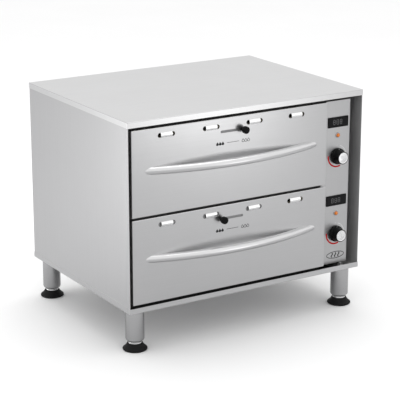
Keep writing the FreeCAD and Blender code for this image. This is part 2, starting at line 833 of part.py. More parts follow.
def control_display(n):
    """Temperature display: a case through the panel, with a rim in front of it."""
    z = lifted("base + display_level", n, "control_pitch")
    rim = box(("controls - display_width / 2", "controls + display_width / 2"),
              ("frame_face - display_rim", "frame_face"),
              (f"{z} - display_height / 2", f"{z} + display_height / 2"))
    half_width = "(display_width / 2 - display_body)"
    half_height = "(display_height / 2 - display_body)"
    case = box((f"controls - {half_width}", f"controls + {half_width}"),
               ("frame_face", "frame_back + display_depth"),
               (f"{z} - {half_height}", f"{z} + {half_height}"))
    return fuse(rim, case)


def indicator_lamp(n):
    """Pilot lamp: bezel on the panel, barrel through it and a rounded lens."""
    z = lifted("base + lamp_level", n, "control_pitch")
    bezel = cylinder("y", "lamp_bezel", "controls", ("frame_face - lamp_rim", "frame_face"), z)
    barrel = cylinder("y", "lamp_barrel", "controls", ("frame_face", "frame_back + lamp_depth"), z)
    lens = cylinder("y", "lamp_lens", "controls", ("frame_face - lamp_reach", "frame_face"), z)
    front_plane = doc_value("frame_face - lamp_reach")
    lens = rounded(lens, "lamp_rim", lambda edge: edge.BoundBox.YMax < front_plane + 1)
    return fuse(bezel, barrel, lens)


def thermostat(n):
    """Thermostat behind the panel: case, bush, shaft, and a capillary with its bulb in the chamber."""
    z = lifted("base + knob_level", n, "control_pitch")
    bulb_z = lifted("bulb_z", n)
    rear = "frame_back + thermostat_depth"
    case = box(("controls - thermostat_width / 2", "controls + thermostat_width / 2"), ("frame_back", rear),
               (f"{z} - thermostat_height / 2", f"{z} + thermostat_height / 2"))
    bush = cylinder("y", "bush_radius", "controls", ("frame_face - bush_reach", "frame_back"), z)
    shaft = cylinder("y", "shaft_radius", "controls",
                     ("frame_face - knob_standoff - shaft_depth", "frame_face"), z)
    corners = [("controls", "capillary_y", z), ("controls", "capillary_y", bulb_z),
               ("bulb_x", "capillary_y", bulb_z)]
    tube = [
        cylinder("y", "capillary_radius", "controls", (f"{rear} - 1", "capillary_y"), z),
        cylinder("z", "capillary_radius", "controls", "capillary_y", (z, bulb_z)),
        cylinder("x", "capillary_radius", ("bulb_x", "controls"), "capillary_y", bulb_z),
    ]
    for corner in corners:
        ball = doc.addObject("Part::Sphere", "elbow")
        bind(ball, Radius="capillary_radius")
        tube.append(at(ball, *corner))
    bulb = cylinder("y", "bulb_radius", "bulb_x",
                    ("capillary_y - bulb_radius", "capillary_y + bulb_length"), bulb_z)
    return fuse(case, bush, shaft, *tube, bulb)


def thermostat_knob(n):
    """Knob with a wide skirt, a tapered grip, a marking notch and a blind bore for the shaft."""
    z = lifted("base + knob_level", n, "control_pitch")
    bore = "shaft_radius + pin_play"
    bore_end = "shaft_depth + shaft_end_play"
    knob = turned("knob", Rotation(Vector(1, 0, 0), 90), [
        (bore, "0"), ("knob_radius", "0"), ("knob_radius", "knob_skirt"),
        ("(knob_radius + knob_grip) / 2", "knob_skirt"), ("knob_grip", "knob_length"),
        ("0", "knob_length"), ("0", bore_end), (bore, bore_end),
    ])
    at_back = "frame_face - knob_standoff"
    bind(knob, Placement__Base__x="controls", Placement__Base__y=at_back, Placement__Base__z=z)
    notch = box(("controls - knob_notch", "controls + knob_notch"),
                (f"{at_back} - knob_skirt - 1", f"{at_back} - knob_skirt + knob_notch"),
                (f"{z} + (knob_radius + knob_grip) / 2", f"{z} + knob_radius + 1"))
    return cut(knob, notch)


# ---------------------------------------------------------------- drawers


def front_edges(n):
    """Lower and upper edge of a drawer front."""
    return lifted("front_bottom", n), lifted("front_bottom + front_height", n)


def vent_slots(n, y, shift="0"):
    """Cutters for the four vents of a drawer, shifted along X."""
    z = lifted("vent_z", n)
    return [
        obround(f"drawer_centre + {step} * vent_pitch + {shift}", z, "vent_length", "vent_height", y)
        for step in (-1.5, -0.5, 0.5, 1.5)
    ]


def vent_bridges(n):
    """Arched bridges pressed out of the front sheet across the middle of each vent."""
    z = lifted("vent_z", n)
    radius = "(vent_height ^ 2 / 4 + bridge_rise ^ 2) / (2 * bridge_rise)"
    y = f"front - bridge_rise + {radius}"
    bridges = []
    for step in (-1.5, -0.5, 0.5, 1.5):
        middle = f"drawer_centre + {step} * vent_pitch"
        x = (f"{middle} - bridge_length / 2", f"{middle} + bridge_length / 2")
        arch = cut(cylinder("x", radius, x, y, z),
                   cylinder("x", f"{radius} - skin", (f"{x[0]} - 1", f"{x[1]} + 1"), y, z))
        window = box(x, ("front - bridge_rise - 1", "skin_back"),
                     (f"{z} - vent_height", f"{z} + vent_height"))
        bridges.append(common(arch, window))
    return bridges


def damper_rails(n):
    """Two welded strips of L-section that guide the damper on the back of the front sheet."""
    x = ("drawer_left + skin + damper_margin", "drawer_right - skin - damper_margin")
    behind = ("strip_far + damper_play", "strip_far + damper_play + damper_sheet")
    low, high = lifted("strip_low", n), lifted("strip_high", n)
    return [
        box(x, ("skin_back", behind[1]), (f"{high} + damper_play", f"{high} + damper_play + rail_lip")),
        box(x, behind, (f"{high} - rail_lip", f"{high} + damper_play + rail_lip")),
        box(x, ("skin_back", behind[1]), (f"{low} - damper_play - rail_lip", f"{low} - damper_play")),
        box(x, behind, (f"{low} - damper_play - rail_lip", f"{low} + rail_lip")),
    ]


def drawer_front(n):
    """Front sheet, folded back on all four sides, with vents, damper slot and damper rails."""
    low, high = front_edges(n)
    face = folded_pan("face", "front_width", "front_height", "liner_back - wall", "skin")
    at(face, "drawer_left", "front", high, ALONG["y"])
    through = ("front - 1", "skin_back + 1")
    guide = obround("guide_x", lifted("guide_z", n), "guide_length", "guide_height", through)
    return fuse(cut(face, guide, *vent_slots(n, through)), *vent_bridges(n), *damper_rails(n))


def drawer_liner(n):
    """Inner sheet of a drawer front, with the vents' openings."""
    y = ("liner_face - wall", "liner_face")
    plate = box(("drawer_left", "drawer_right"), y, front_edges(n))
    return cut(plate, *vent_slots(n, (f"{y[0]} - 1", f"{y[1]} + 1")))


def drawer_insulation(n):
    """Insulation between the two sheets, cleared around the damper, its rails and the vents."""
    low, high = front_edges(n)
    y = ("skin_back", "liner_face - wall")
    core = box(("drawer_left + skin", "drawer_right - skin"), y, (f"{low} + skin", f"{high} - skin"))
    bay = box(("drawer_left", "drawer_right"), (f"{y[0]} - 1", "strip_far + 2 * damper_play + damper_sheet"),
              (f"{lifted('strip_low', n)} - 2 * damper_play - rail_lip",
               f"{lifted('strip_high', n)} + 2 * damper_play + rail_lip"))
    return cut(core, bay, *vent_slots(n, (f"{y[0]} - 1", f"{y[1]} + 1")))


def drawer_gasket(n):
    """Seal around the chamber mouth, on the back of the drawer front."""
    low, high = front_edges(n)
    return shell(("gasket_left", "gasket_right"), ("liner_face", "frame_face - gasket_play"),
                 (f"{low} + gasket_edge", f"{high} - gasket_edge"),
                 ("gasket_width", "gasket_width"), ("-1", "-1"), ("gasket_width", "gasket_width"))


def drawer_handle(n):
    """Bowed tube whose ends are cut flush with the drawer face."""
    z = f"{lifted('front_bottom', n)} + handle_height"
    x = "drawer_centre + handle_offset"
    tubes = []
    for radius in ("handle_radius", "handle_radius - handle_wall"):
        ring = doc.addObject("Part::Torus", "ring")
        bind(ring, Radius1="arc_radius - handle_radius", Radius2=radius)
        tubes.append(at(ring, x, "front - handle_bow - handle_radius + arc_radius", z))
    window = box((f"{x} - handle_span", f"{x} + handle_span"), ("front - 2 * handle_bow", "front"),
                 (f"{z} - 2 * handle_radius", f"{z} + 2 * handle_radius"))
    return common(cut(tubes[0], tubes[1]), window)


def damper_shift(n):
    """How far the damper stands from its open place: the lower one rests closed."""
    return "0" if n else "(0 - damper_travel)"


def damper(n):
    """Sliding strip with a window for each vent."""
    shift = damper_shift(n)
    reach = "1.5 * vent_pitch + vent_length / 2 + damper_margin"
    y = ("strip_near", "strip_far")
    strip = box((f"drawer_centre + {shift} - ({reach})", f"drawer_centre + {shift} + {reach}"), y,
                (lifted("strip_low", n), lifted("strip_high", n)))
    return cut(strip, *vent_slots(n, (f"{y[0]} - 1", f"{y[1]} + 1"), shift))


def damper_knob(n):
    """Knob of the damper, with a stem through the guide slot."""
    start = "skin + damper_play + toggle_gap"
    knob = turned("toggle", Rotation(Vector(1, 0, 0), 90), [
        ("0", "0"), ("stem_pin", "0"), ("stem_pin", start), ("toggle_neck", start),
        ("toggle_neck", f"{start} + toggle_neck_length - toggle_radius + toggle_neck"),
        ("toggle_radius", f"{start} + toggle_neck_length"), ("toggle_radius", f"{start} + toggle_length"),
        ("0", f"{start} + toggle_length"),
    ])
    x = f"guide_x + damper_travel / 2 + {damper_shift(n)}"
    return bind(knob, Placement__Base__x=x, Placement__Base__y="strip_near",
                Placement__Base__z=lifted("guide_z", n))


def pan_frame(n):
    """Inverted tray behind the drawer front: side rails, rear rail and a ledge around the pan."""
    top = lifted("ledge_z", n)
    x = ("carriage_left", "carriage_right")
    frame = shell(x, ("liner_face", "slide_high"), (f"{top} - rail_height", top),
                  ("rail_sheet", "rail_sheet"), ("rail_sheet", "rail_sheet"), ("-1", "rail_sheet"))
    rim = "pan_rim - pan_play"
    opening = box((f"pan_left + {rim}", f"pan_left + pan_width - ({rim})"),
                  (f"pan_near + {rim}", f"pan_near + pan_length - ({rim})"),
                  (f"{top} - 2 * rail_sheet", f"{top} + 1"))
    return cut(frame, opening)


def pan_block(name, inset, depth):
    """Tapered block with rounded corners and a rounded floor; its top lies at local z 0."""
    body = doc.addObject("PartDesign::Body", name)
    sections = []
    for lift, lean in (("0", "0"), (f"0 - ({depth})", f"pan_taper * ({depth}) / pan_depth")):
        edge = f"pan_rim + {inset} + {lean}"
        sections.append(rectangle(sketch_on(body, "XY_Plane", lift),
                                  (edge, f"pan_width - ({edge})"), (edge, f"pan_length - ({edge})")))
    loft = body.newObject("PartDesign::AdditiveLoft", "walls")
    loft.Profile = sections[0]
    loft.Sections = [sections[1]]
    loft.Ruled = True
    doc.recompute()
    made = doc.addObject("Part::Fillet", "soft_block")
    made.Base = body
    corner, floor = sheet.pan_corner - doc_value(inset), sheet.pan_floor_round - doc_value(inset)
    low = -doc_value(depth) + 1e-3
    made.Edges = [
        (number, size, size)
        for number, edge in enumerate(body.Shape.Edges, 1)
        for size in ([corner] if edge.BoundBox.ZLength > 1 else [floor] if edge.BoundBox.ZMax < low else [])
    ]
    return made


def food_pan(n):
    """Food pan of full gastronorm size: tapered walls, rounded corners and a flat rim on the ledge."""
    top = f"{lifted('ledge_z', n)} + pan_sheet"
    place = ("pan_left", "pan_near", top)
    outside = at(pan_block("pan_outside", "0", "pan_depth"), *place)
    inside = at(pan_block("pan_inside", "pan_sheet", "pan_depth - pan_sheet"), *place)
    rim = box(("pan_left", "pan_left + pan_width"), ("pan_near", "pan_near + pan_length"),
              (f"{top} - pan_sheet", top))
    rim = rounded(rim, "pan_rim", lambda edge: runs_along(edge, "z"))
    return cut(fuse(outside, rim), inside)


# ---------------------------------------------------------------- assembly

for build in (top_panel, bottom_tray, back_panel, back_panel_screws, front_frame, control_panel,
              control_box, cable_gland, support_rails, leg_nuts, chamber_insulation, slide_outer_members):
    sub_part(build(), build.__name__)

for side in ("left", "right"):
    sub_part(side_panel(side), f"{side}_side_panel")

for spot, (x, y) in LEG_SPOTS.items():
    for build in (leg, foot_stem, foot_pad):
        sub_part(build(x, y), f"{spot}_{build.__name__}")

for storey, n in STOREYS.items():
    for build in (chamber, heater, control_display, indicator_lamp, thermostat, thermostat_knob,
                  drawer_front, drawer_liner, drawer_insulation, drawer_gasket, drawer_handle,
                  damper, damper_knob, pan_frame, food_pan, slide_middle_members, slide_inner_members):
        sub_part(build(n), f"{storey}_{build.__name__}")

# ---------------------------------------------------------------- checks and export

doc.recompute()
for item in doc.Objects:
    if {"Invalid", "Error"} & set(item.State):
        raise RuntimeError(f"{item.Label} could not be computed")
for item in sub_parts:
    if item.Shape.isNull() or not item.Shape.isValid():
        raise RuntimeError(f"{item.Label} has no valid shape")

os.makedirs("parts", exist_ok=True)
for item in sub_parts:
    item.Shape.exportStep(f"parts/{item.Label}.step")
print(len(sub_parts), "sub-parts written")
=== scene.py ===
import math

import bmesh
import bpy
import numpy as np
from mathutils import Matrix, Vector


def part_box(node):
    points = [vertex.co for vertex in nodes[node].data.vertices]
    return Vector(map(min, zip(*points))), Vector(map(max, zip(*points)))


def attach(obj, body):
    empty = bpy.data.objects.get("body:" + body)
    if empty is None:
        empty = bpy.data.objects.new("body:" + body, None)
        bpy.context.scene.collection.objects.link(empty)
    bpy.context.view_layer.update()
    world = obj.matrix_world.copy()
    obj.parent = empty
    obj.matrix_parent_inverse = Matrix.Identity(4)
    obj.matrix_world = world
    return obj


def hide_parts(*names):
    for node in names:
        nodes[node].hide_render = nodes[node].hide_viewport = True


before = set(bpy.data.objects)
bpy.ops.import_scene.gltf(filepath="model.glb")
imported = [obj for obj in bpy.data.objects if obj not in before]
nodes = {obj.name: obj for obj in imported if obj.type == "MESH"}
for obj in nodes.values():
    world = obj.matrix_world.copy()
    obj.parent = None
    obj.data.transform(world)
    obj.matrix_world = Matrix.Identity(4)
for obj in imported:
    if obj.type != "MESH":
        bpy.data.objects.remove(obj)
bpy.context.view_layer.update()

# ---------------------------------------------------------------- camera
# A long lens at the left front, a little above the lid, so that the two long sides and the lid all show.

AZIMUTH = math.radians(-31.78)
DOWNWARD = math.radians(16.55)
STANDPOINT = (-2.2248, -3.6089, 1.5638)

camera_data = bpy.data.cameras.new("camera")
camera_data.sensor_width = 36.0
camera_data.lens = 139.2
camera_data.clip_end = 60.0
camera = bpy.data.objects.new("camera", camera_data)
camera.location = STANDPOINT
camera.rotation_euler = (math.pi / 2 - DOWNWARD, 0.0, AZIMUTH)
bpy.context.collection.objects.link(camera)
bpy.context.scene.camera = camera
bpy.context.scene.view_settings.view_transform = "Standard"

# ---------------------------------------------------------------- studio
# A pale seamless floor, a bright room and three soft boxes: overhead, low at the left, low at the right front.

FLOOR_SIZE = 24.0
ROOM_LIGHT = 1.05
FLAGGED_FLOOR = (0.52, 0.52, 0.525)


def add_surface(name, *grids, wrap_u=False, wrap_v=False, smooth=True, crease=32.0):
    """One mesh of quads over grids of points (rows, columns, xyz).

    wrap_u joins a grid's last row to its first one, wrap_v its last column to its first one. Points that
    coincide are merged, which closes seams and poles, and the faces are turned outwards."""
    points, quads, count = [], [], 0
    for grid in grids:
        rows, columns = grid.shape[:2]
        index = np.arange(rows * columns).reshape(rows, columns) + count
        along = np.concatenate([index, index[:1]]) if wrap_u else index
        both = np.concatenate([along, along[:, :1]], axis=1) if wrap_v else along
        quads.append(np.stack([both[:-1, :-1], both[1:, :-1], both[1:, 1:], both[:-1, 1:]], axis=-1).reshape(-1, 4))
        points.append(grid.reshape(-1, 3))
        count += rows * columns
    mesh = bpy.data.meshes.new(name)
    mesh.from_pydata(np.concatenate(points), [], np.concatenate(quads).tolist())
    work = bmesh.new()
    work.from_mesh(mesh)
    bmesh.ops.remove_doubles(work, verts=work.verts, dist=1e-6)
    bmesh.ops.dissolve_degenerate(work, edges=work.edges, dist=1e-7)
    bmesh.ops.recalc_face_normals(work, faces=work.faces)
    if work.calc_volume(signed=True) < 0:
        bmesh.ops.reverse_faces(work, faces=work.faces)
    work.to_mesh(mesh)
    work.free()
    mesh.polygons.foreach_set("use_smooth", np.full(len(mesh.polygons), smooth))
    if smooth:
        mesh.set_sharp_from_angle(angle=math.radians(crease))
    piece = bpy.data.objects.new(name, mesh)
    bpy.context.collection.objects.link(piece)
    return piece


def add_node(tree, kind, sockets=None, **settings):
    """A node with its settings and its inputs; an input given as another node's output is linked to it."""
    node = tree.nodes.new("ShaderNode" + kind)
    for name, value in settings.items():
        setattr(node, name, value)
    for name, value in (sockets or {}).items():
        if isinstance(value, bpy.types.NodeSocket):
            tree.links.new(value, node.inputs[name])
        else:
            node.inputs[name].default_value = value
    return node


def start_material(name, sockets):
    """A node material with values on its shader's own sockets; gives it, its tree and its shader."""
    material = bpy.data.materials.new(name)
    material.use_nodes = True
    shader = material.node_tree.nodes["Principled BSDF"]
    for socket, value in sockets.items():
        shader.inputs[socket].default_value = value
    return material, material.node_tree, shader


def noise(tree, scale, detail=2.0, distortion=0.0):
    """Cloud of values, 0 to 1, over the place on the object."""
    place = add_node(tree, "TexCoord").outputs["Object"]
    sockets = {"Vector": place, "Scale": scale, "Detail": detail, "Distortion": distortion}
    return add_node(tree, "TexNoise", sockets).outputs["Fac"]


def blend_tints(tree, factor, first, last):
    """Colour between two others, each given as (red, green, blue) or as a node's output."""
    ends = [end if isinstance(end, bpy.types.NodeSocket) else (*end, 1) for end in (first, last)]
    return add_node(tree, "Mix", {"Factor": factor, "A": ends[0], "B": ends[1]}, data_type="RGBA").outputs["Result"]


def floor_material():
    """Matte pale studio floor with a faint mottle, lit white; what mirrors it sees it dimmer, as past a flag."""
    material, tree, shader = start_material("studio_floor", {"Roughness": 0.75, "Specular IOR Level": 0.1})
    tone = blend_tints(tree, noise(tree, 1.5), (0.90, 0.90, 0.90), (0.93, 0.93, 0.93))
    seen = add_node(tree, "LightPath").outputs["Is Camera Ray"]
    tree.links.new(blend_tints(tree, seen, FLAGGED_FLOOR, tone), shader.inputs["Base Color"])
    return material


half = FLOOR_SIZE / 2
corners = np.array([[(-half, -half, 0.0), (-half, half, 0.0)], [(half, -half, 0.0), (half, half, 0.0)]])
floor = add_surface("studio_floor", corners, smooth=False)
floor.data.materials.append(floor_material())


def add_soft_box(name, place, aim, size, power):
    """A square area light at a place, turned towards the aim."""
    data = bpy.data.lights.new(name, "AREA")
    data.shape = "SQUARE"
    data.size = size
    data.energy = power
    light = bpy.data.objects.new(name, data)
    direction = np.array(aim) - np.array(place)
    flat = math.hypot(direction[0], direction[1])
    light.location = place
    turn = math.atan2(direction[1], direction[0]) - math.pi / 2
    light.rotation_euler = (math.atan2(flat, -direction[2]), 0.0, turn)
    light.visible_camera = False
    bpy.context.collection.objects.link(light)


add_soft_box("overhead_box", (0.3, 0.4, 3.2), (0, 0, 0.4), 2.4, 30)
add_soft_box("left_side_box", (-1.9, 0.9, 0.25), (-0.38, -0.2, 0.45), 0.5, 5)
add_soft_box("right_front_box", (0.75, -1.75, 0.35), (-0.15, -0.27, 0.5), 0.45, 1.1)

world = bpy.data.worlds.new("bright_room")
world.use_nodes = True
bpy.context.scene.world = world
backdrop = world.node_tree.nodes["Background"]
backdrop.inputs["Color"].default_value = (1.0, 1.0, 1.0, 1)
backdrop.inputs["Strength"].default_value = ROOM_LIGHT

# ---------------------------------------------------------------- brushed stainless sheet
# Every sheet of the cabinet is stainless steel, brushed with a fine belt along its long direction.


def build_brushing():
    """Node group: fine parallel streaks over a slow mottle, as a tint, a roughness and a height.

    streak = noise(place * stretch); tint = tone * (1 - depth * streak - smudge * mottle);
    roughness = grain + spread * (streak - 0.5) + 0.5 * spread * (mottle - 0.5)."""
    group = bpy.data.node_groups.new("brushing", "ShaderNodeTree")
    face = group.interface
    place = face.new_socket("Place", in_out="INPUT", socket_type="NodeSocketVector")
    place.hide_value = True
    stretch = face.new_socket("Stretch", in_out="INPUT", socket_type="NodeSocketVector")
    stretch.default_value = (6.0, 900.0, 900.0)
    tone = face.new_socket("Tone", in_out="INPUT", socket_type="NodeSocketColor")
    tone.default_value = (0.7, 0.7, 0.7, 1)
    for name, value in (("Depth", 0.06), ("Smudge", 0.05), ("Grain", 0.3), ("Spread", 0.08)):
        face.new_socket(name, in_out="INPUT", socket_type="NodeSocketFloat").default_value = value
    face.new_socket("Tint", in_out="OUTPUT", socket_type="NodeSocketColor")
    for name in ("Roughness", "Height"):
        face.new_socket(name, in_out="OUTPUT", socket_type="NodeSocketFloat")
    nodes_in = group.nodes.new("NodeGroupInput").outputs
    nodes_out = group.nodes.new("NodeGroupOutput").inputs

    stretched = add_node(group, "VectorMath", {0: nodes_in["Place"], 1: nodes_in["Stretch"]}, operation="MULTIPLY")
    along = {"Vector": stretched.outputs["Vector"], "Scale": 1.0, "Detail": 3.0}
    streak = add_node(group, "TexNoise", along).outputs["Fac"]
    around = {"Vector": nodes_in["Place"], "Scale": 7.0, "Detail": 4.0}
    mottle = add_node(group, "TexNoise", around).outputs["Fac"]

    def arithmetic(operation, first, second):
        return add_node(group, "Math", {0: first, 1: second}, operation=operation).outputs["Value"]

    streaks = arithmetic("MULTIPLY", streak, nodes_in["Depth"])
    smudges = arithmetic("MULTIPLY", mottle, nodes_in["Smudge"])
    light = arithmetic("SUBTRACT", 1.0, arithmetic("ADD", streaks, smudges))
    tint = add_node(group, "VectorMath", {0: nodes_in["Tone"], "Scale": light}, operation="SCALE")
    group.links.new(tint.outputs["Vector"], nodes_out["Tint"])
    uneven = arithmetic("SUBTRACT", streak, 0.5)
    patchy = arithmetic("MULTIPLY", arithmetic("SUBTRACT", mottle, 0.5), 0.5)
    swing = arithmetic("MULTIPLY", arithmetic("ADD", uneven, patchy), nodes_in["Spread"])
    group.links.new(arithmetic("ADD", nodes_in["Grain"], swing), nodes_out["Roughness"])
    group.links.new(streak, nodes_out["Height"])
    return group


brushing = build_brushing()
ALONG_X = (5.0, 700.0, 700.0)
ALONG_Y = (700.0, 5.0, 700.0)
ALONG_Z = (700.0, 700.0, 5.0)


def emboss(tree, shader, height, strength, distance):
    """Relief of a height, in the shader's normal."""
    relief = add_node(tree, "Bump", {"Height": height, "Strength": strength, "Distance": distance})
    tree.links.new(relief.outputs["Normal"], shader.inputs["Normal"])


def brushed_steel(name, tone, stretch, grain=0.3, depth=0.06, smudge=0.05, bump=0.05):
    """Steel whose tint, roughness and relief come from the brushing group; tone is its grey."""
    material, tree, shader = start_material(name, {"Metallic": 1.0})
    sockets = {"Place": add_node(tree, "TexCoord").outputs["Object"], "Stretch": stretch,
               "Tone": (tone, tone, tone * 1.005, 1), "Depth": depth, "Smudge": smudge, "Grain": grain}
    finish = add_node(tree, "Group", sockets, node_tree=brushing)
    tree.links.new(finish.outputs["Tint"], shader.inputs["Base Color"])
    tree.links.new(finish.outputs["Roughness"], shader.inputs["Roughness"])
    emboss(tree, shader, finish.outputs["Height"], bump, 0.0002)
    return material


def dress(material, *names):
    """Puts a material in every slot of CAD nodes."""
    for name in names:
        if not nodes[name].material_slots:
            nodes[name].data.materials.append(material)
        for slot in nodes[name].material_slots:
            slot.material = material


# ---------------------------------------------------------------- lid and tray
# Folded sheets with turned edges, brushed across the cabinet; the lid's lips carry a painted highlight, a brighter
# grey.

LIP_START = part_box("top_panel")[1][2] - 0.0016


def paint_highlight_below(material, axis, limit, tone):
    """Paints a highlight on a brushed steel: a brighter grey where one of its coordinates is less than a limit."""
    tree = material.node_tree
    split = add_node(tree, "SeparateXYZ", {"Vector": add_node(tree, "TexCoord").outputs["Object"]})
    below = add_node(tree, "Math", {0: split.outputs[axis], 1: limit}, operation="LESS_THAN").outputs["Value"]
    tint = blend_tints(tree, below, tree.nodes["Group"].outputs["Tint"], (tone, tone, tone))
    tree.links.new(tint, tree.nodes["Principled BSDF"].inputs["Base Color"])
    return material


dress(paint_highlight_below(brushed_steel("lid_steel", 0.60, ALONG_X, grain=0.34), "Z", LIP_START, 0.84), "top_panel")
dress(brushed_steel("tray_steel", 0.72, ALONG_X, grain=0.34), "bottom_tray")

# ---------------------------------------------------------------- side and back panels
# Sheets between the lips of lid and tray, brushed upright, with the back one screwed on.

INNER_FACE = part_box("right_side_panel")[1][0] - 0.0004


def side_sheet():
    """Brushed sheet that is left with its dull mill finish where |x| is less than the outer face's."""
    material = brushed_steel("side_steel", 0.72, ALONG_Z, grain=0.34)
    tree = material.node_tree
    split = add_node(tree, "SeparateXYZ", {"Vector": add_node(tree, "TexCoord").outputs["Object"]})
    distance = add_node(tree, "Math", {0: split.outputs["X"]}, operation="ABSOLUTE").outputs["Value"]
    inside = add_node(tree, "Math", {0: distance, 1: INNER_FACE}, operation="LESS_THAN").outputs["Value"]
    dull = add_node(tree, "Mix", {"Factor": inside, "A": tree.nodes["Group"].outputs["Roughness"], "B": 0.62})
    tree.links.new(dull.outputs["Result"], tree.nodes["Principled BSDF"].inputs["Roughness"])
    return material


dress(side_sheet(), "left_side_panel", "right_side_panel")
dress(brushed_steel("back_steel", 0.64, ALONG_X, grain=0.4), "back_panel")

# ---------------------------------------------------------------- front frame and control column
# The frame behind the drawers and the column beside them are folded from the same sheet.

# The frame's near-black grey is painted shade, for the dark gaps round the drawers.
dress(brushed_steel("frame_steel", 0.06, ALONG_X, grain=0.5), "front_frame")
dress(brushed_steel("duct_steel", 0.7, ALONG_X, grain=0.5), "control_box")
dress(brushed_steel("column_steel", 0.62, ALONG_Z, grain=0.36), "control_panel")

# ---------------------------------------------------------------- drawer fronts
# Folded sheets, brushed across, so that what they mirror is drawn out upright. The vents' pressed bridges
# stand in front of the face and carry a painted highlight, a brighter grey than the face.

BRIDGE_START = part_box("lower_drawer_handle")[1][1] - 0.0002

drawer_steel = paint_highlight_below(brushed_steel("drawer_steel", 0.68, ALONG_X, grain=0.30), "Y", BRIDGE_START, 1.0)
dress(drawer_steel, "lower_drawer_front", "upper_drawer_front")
dress(brushed_steel("liner_steel", 0.58, ALONG_X, grain=0.4), "lower_drawer_liner", "upper_drawer_liner")

# ---------------------------------------------------------------- handles
# Stainless tube, bowed in plan, cut to the drawer face at both ends, welded on and polished.

HANDLE_RADIUS = 0.011


def bowed_tube(low, high, rows=160, columns=40):
    """Tube along a flat arc, cut by the plane of the drawer face.

    With half span a and reach b, the outer radius is (a^2 + b^2) / 2b. A line of the tube at the angle t
    round its section lies at the radius q = R + r cos t, and meets the face at phi = acos(depth / q)."""
    reach = high[1] - low[1]
    span = (high[0] - low[0]) / 2
    outer = (span ** 2 + reach ** 2) / (2 * reach)
    middle = ((low[0] + high[0]) / 2, high[1] - reach + outer, (low[2] + high[2]) / 2)
    turn = np.linspace(0, 2 * np.pi, columns, endpoint=False)[None, :]
    way = np.linspace(-1, 1, rows)[:, None]
    radius = outer - HANDLE_RADIUS + HANDLE_RADIUS * np.cos(turn)
    angle = way * np.arccos((middle[1] - high[1]) / radius)
    tube = np.stack([
        middle[0] + radius * np.sin(angle),
        middle[1] - radius * np.cos(angle),
        middle[2] + HANDLE_RADIUS * np.sin(turn) + 0 * angle,
    ], axis=-1)
    ends = [np.repeat(tube[row:row + 1].mean(axis=1, keepdims=True), columns, axis=1) for row in (0, rows - 1)]
    return np.concatenate([ends[0], tube, ends[1]])


def finish_piece(piece, body, slot, material, *replaced):
    """Gives a piece its material, the body it rides on and the CAD nodes it stands for. The slot argument is not
    used.
    """
    piece.data.materials.append(material)
    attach(piece, body)
    if replaced:
        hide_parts(*replaced)


handle_steel = brushed_steel("handle_steel", 0.74, ALONG_X, grain=0.3, depth=0.03, bump=0.01)
for storey in ("lower", "upper"):
    cad_name = f"{storey}_drawer_handle"
    handle = add_surface(f"{storey}_handle", bowed_tube(*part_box(cad_name)), wrap_v=True)
    finish_piece(handle, f"{storey}_drawer", "handle_steel", handle_steel, cad_name)

# ---------------------------------------------------------------- legs
# Satin steel tube with a rolled-in lower edge, a welded top plate and a stud through the tray.

LEG_WALL = 0.0015
LEG_PLATE = 0.003
LEG_THROAT = 0.0188
STUD_RADIUS = 0.005
CORNERS = ("front_left", "front_right", "back_left", "back_right")


def soft_profile(*corners, steps=7):
    """Profile of (distance, height, softness) corners, each one rounded by a parabola that leaves its two
    sides at the softness: (1 - t)^2 a + 2 t (1 - t) c + t^2 b."""
    spots = np.array([corner[:2] for corner in corners], float)
    softness = [corner[2] for corner in corners]
    run = np.linspace(0, 1, steps)[:, None]
    parts = []
    for here, spot in enumerate(spots):
        if softness[here] == 0:
            parts.append(spot[None])
            continue
        back, ahead = spots[here - 1] - spot, spots[(here + 1) % len(spots)] - spot
        start = spot + back / np.linalg.norm(back) * softness[here]
        end = spot + ahead / np.linalg.norm(ahead) * softness[here]
        parts.append((1 - run) ** 2 * start + 2 * run * (1 - run) * spot + run ** 2 * end)
    return np.concatenate(parts)


def lathe(profile, centre, axis="z", columns=64):
    """Profile of (distance, height) points turned about an axis through the centre.

    The axis is "z", upwards, "front", towards -Y, or "back", towards +Y."""
    turn = np.linspace(0, 2 * np.pi, columns, endpoint=False)[None, :]
    distance, height = profile[:, :1], profile[:, 1:2] + 0 * turn
    across, other = distance * np.cos(turn), distance * np.sin(turn)
    ways = {"z": (across, other, height), "front": (across, -height, other), "back": (-across, height, other)}
    return np.stack(ways[axis], axis=-1) + np.array(centre)


leg_steel = brushed_steel("leg_steel", 0.62, ALONG_Z, grain=0.18)
tray_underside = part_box("bottom_tray")[0][2]
for corner in CORNERS:
    low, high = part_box(f"{corner}_leg")
    radius = (high[0] - low[0]) / 2
    base, plate = low[2], tray_underside - LEG_PLATE
    profile = soft_profile(
        (0, high[2], 0), (STUD_RADIUS, high[2], 0.001), (STUD_RADIUS, tray_underside, 0),
        (radius, tray_underside, 0.0008), (radius, base, 0.0085), (LEG_THROAT, base, 0.0004),
        (LEG_THROAT, base + LEG_WALL, 0), (radius - LEG_WALL, base + 0.008, 0.001),
        (radius - LEG_WALL, plate, 0), (0, plate, 0))
    centre = ((low[0] + high[0]) / 2, (low[1] + high[1]) / 2, 0)
    leg = add_surface(f"{corner}_leg_tube", lathe(profile, centre), wrap_v=True)
    finish_piece(leg, "cabinet", "leg_steel", leg_steel, f"{corner}_leg")

# ---------------------------------------------------------------- feet
# A turned insert screws in and out of each leg and stands in a black rubber pad with a broad sole.

GROOVE = 0.0006


def vary_gloss(tree, shader, factor, low, high):
    """Roughness between two values, by a factor."""
    gloss = add_node(tree, "MapRange", {"Value": factor, "To Min": low, "To Max": high})
    tree.links.new(gloss.outputs["Result"], shader.inputs["Roughness"])


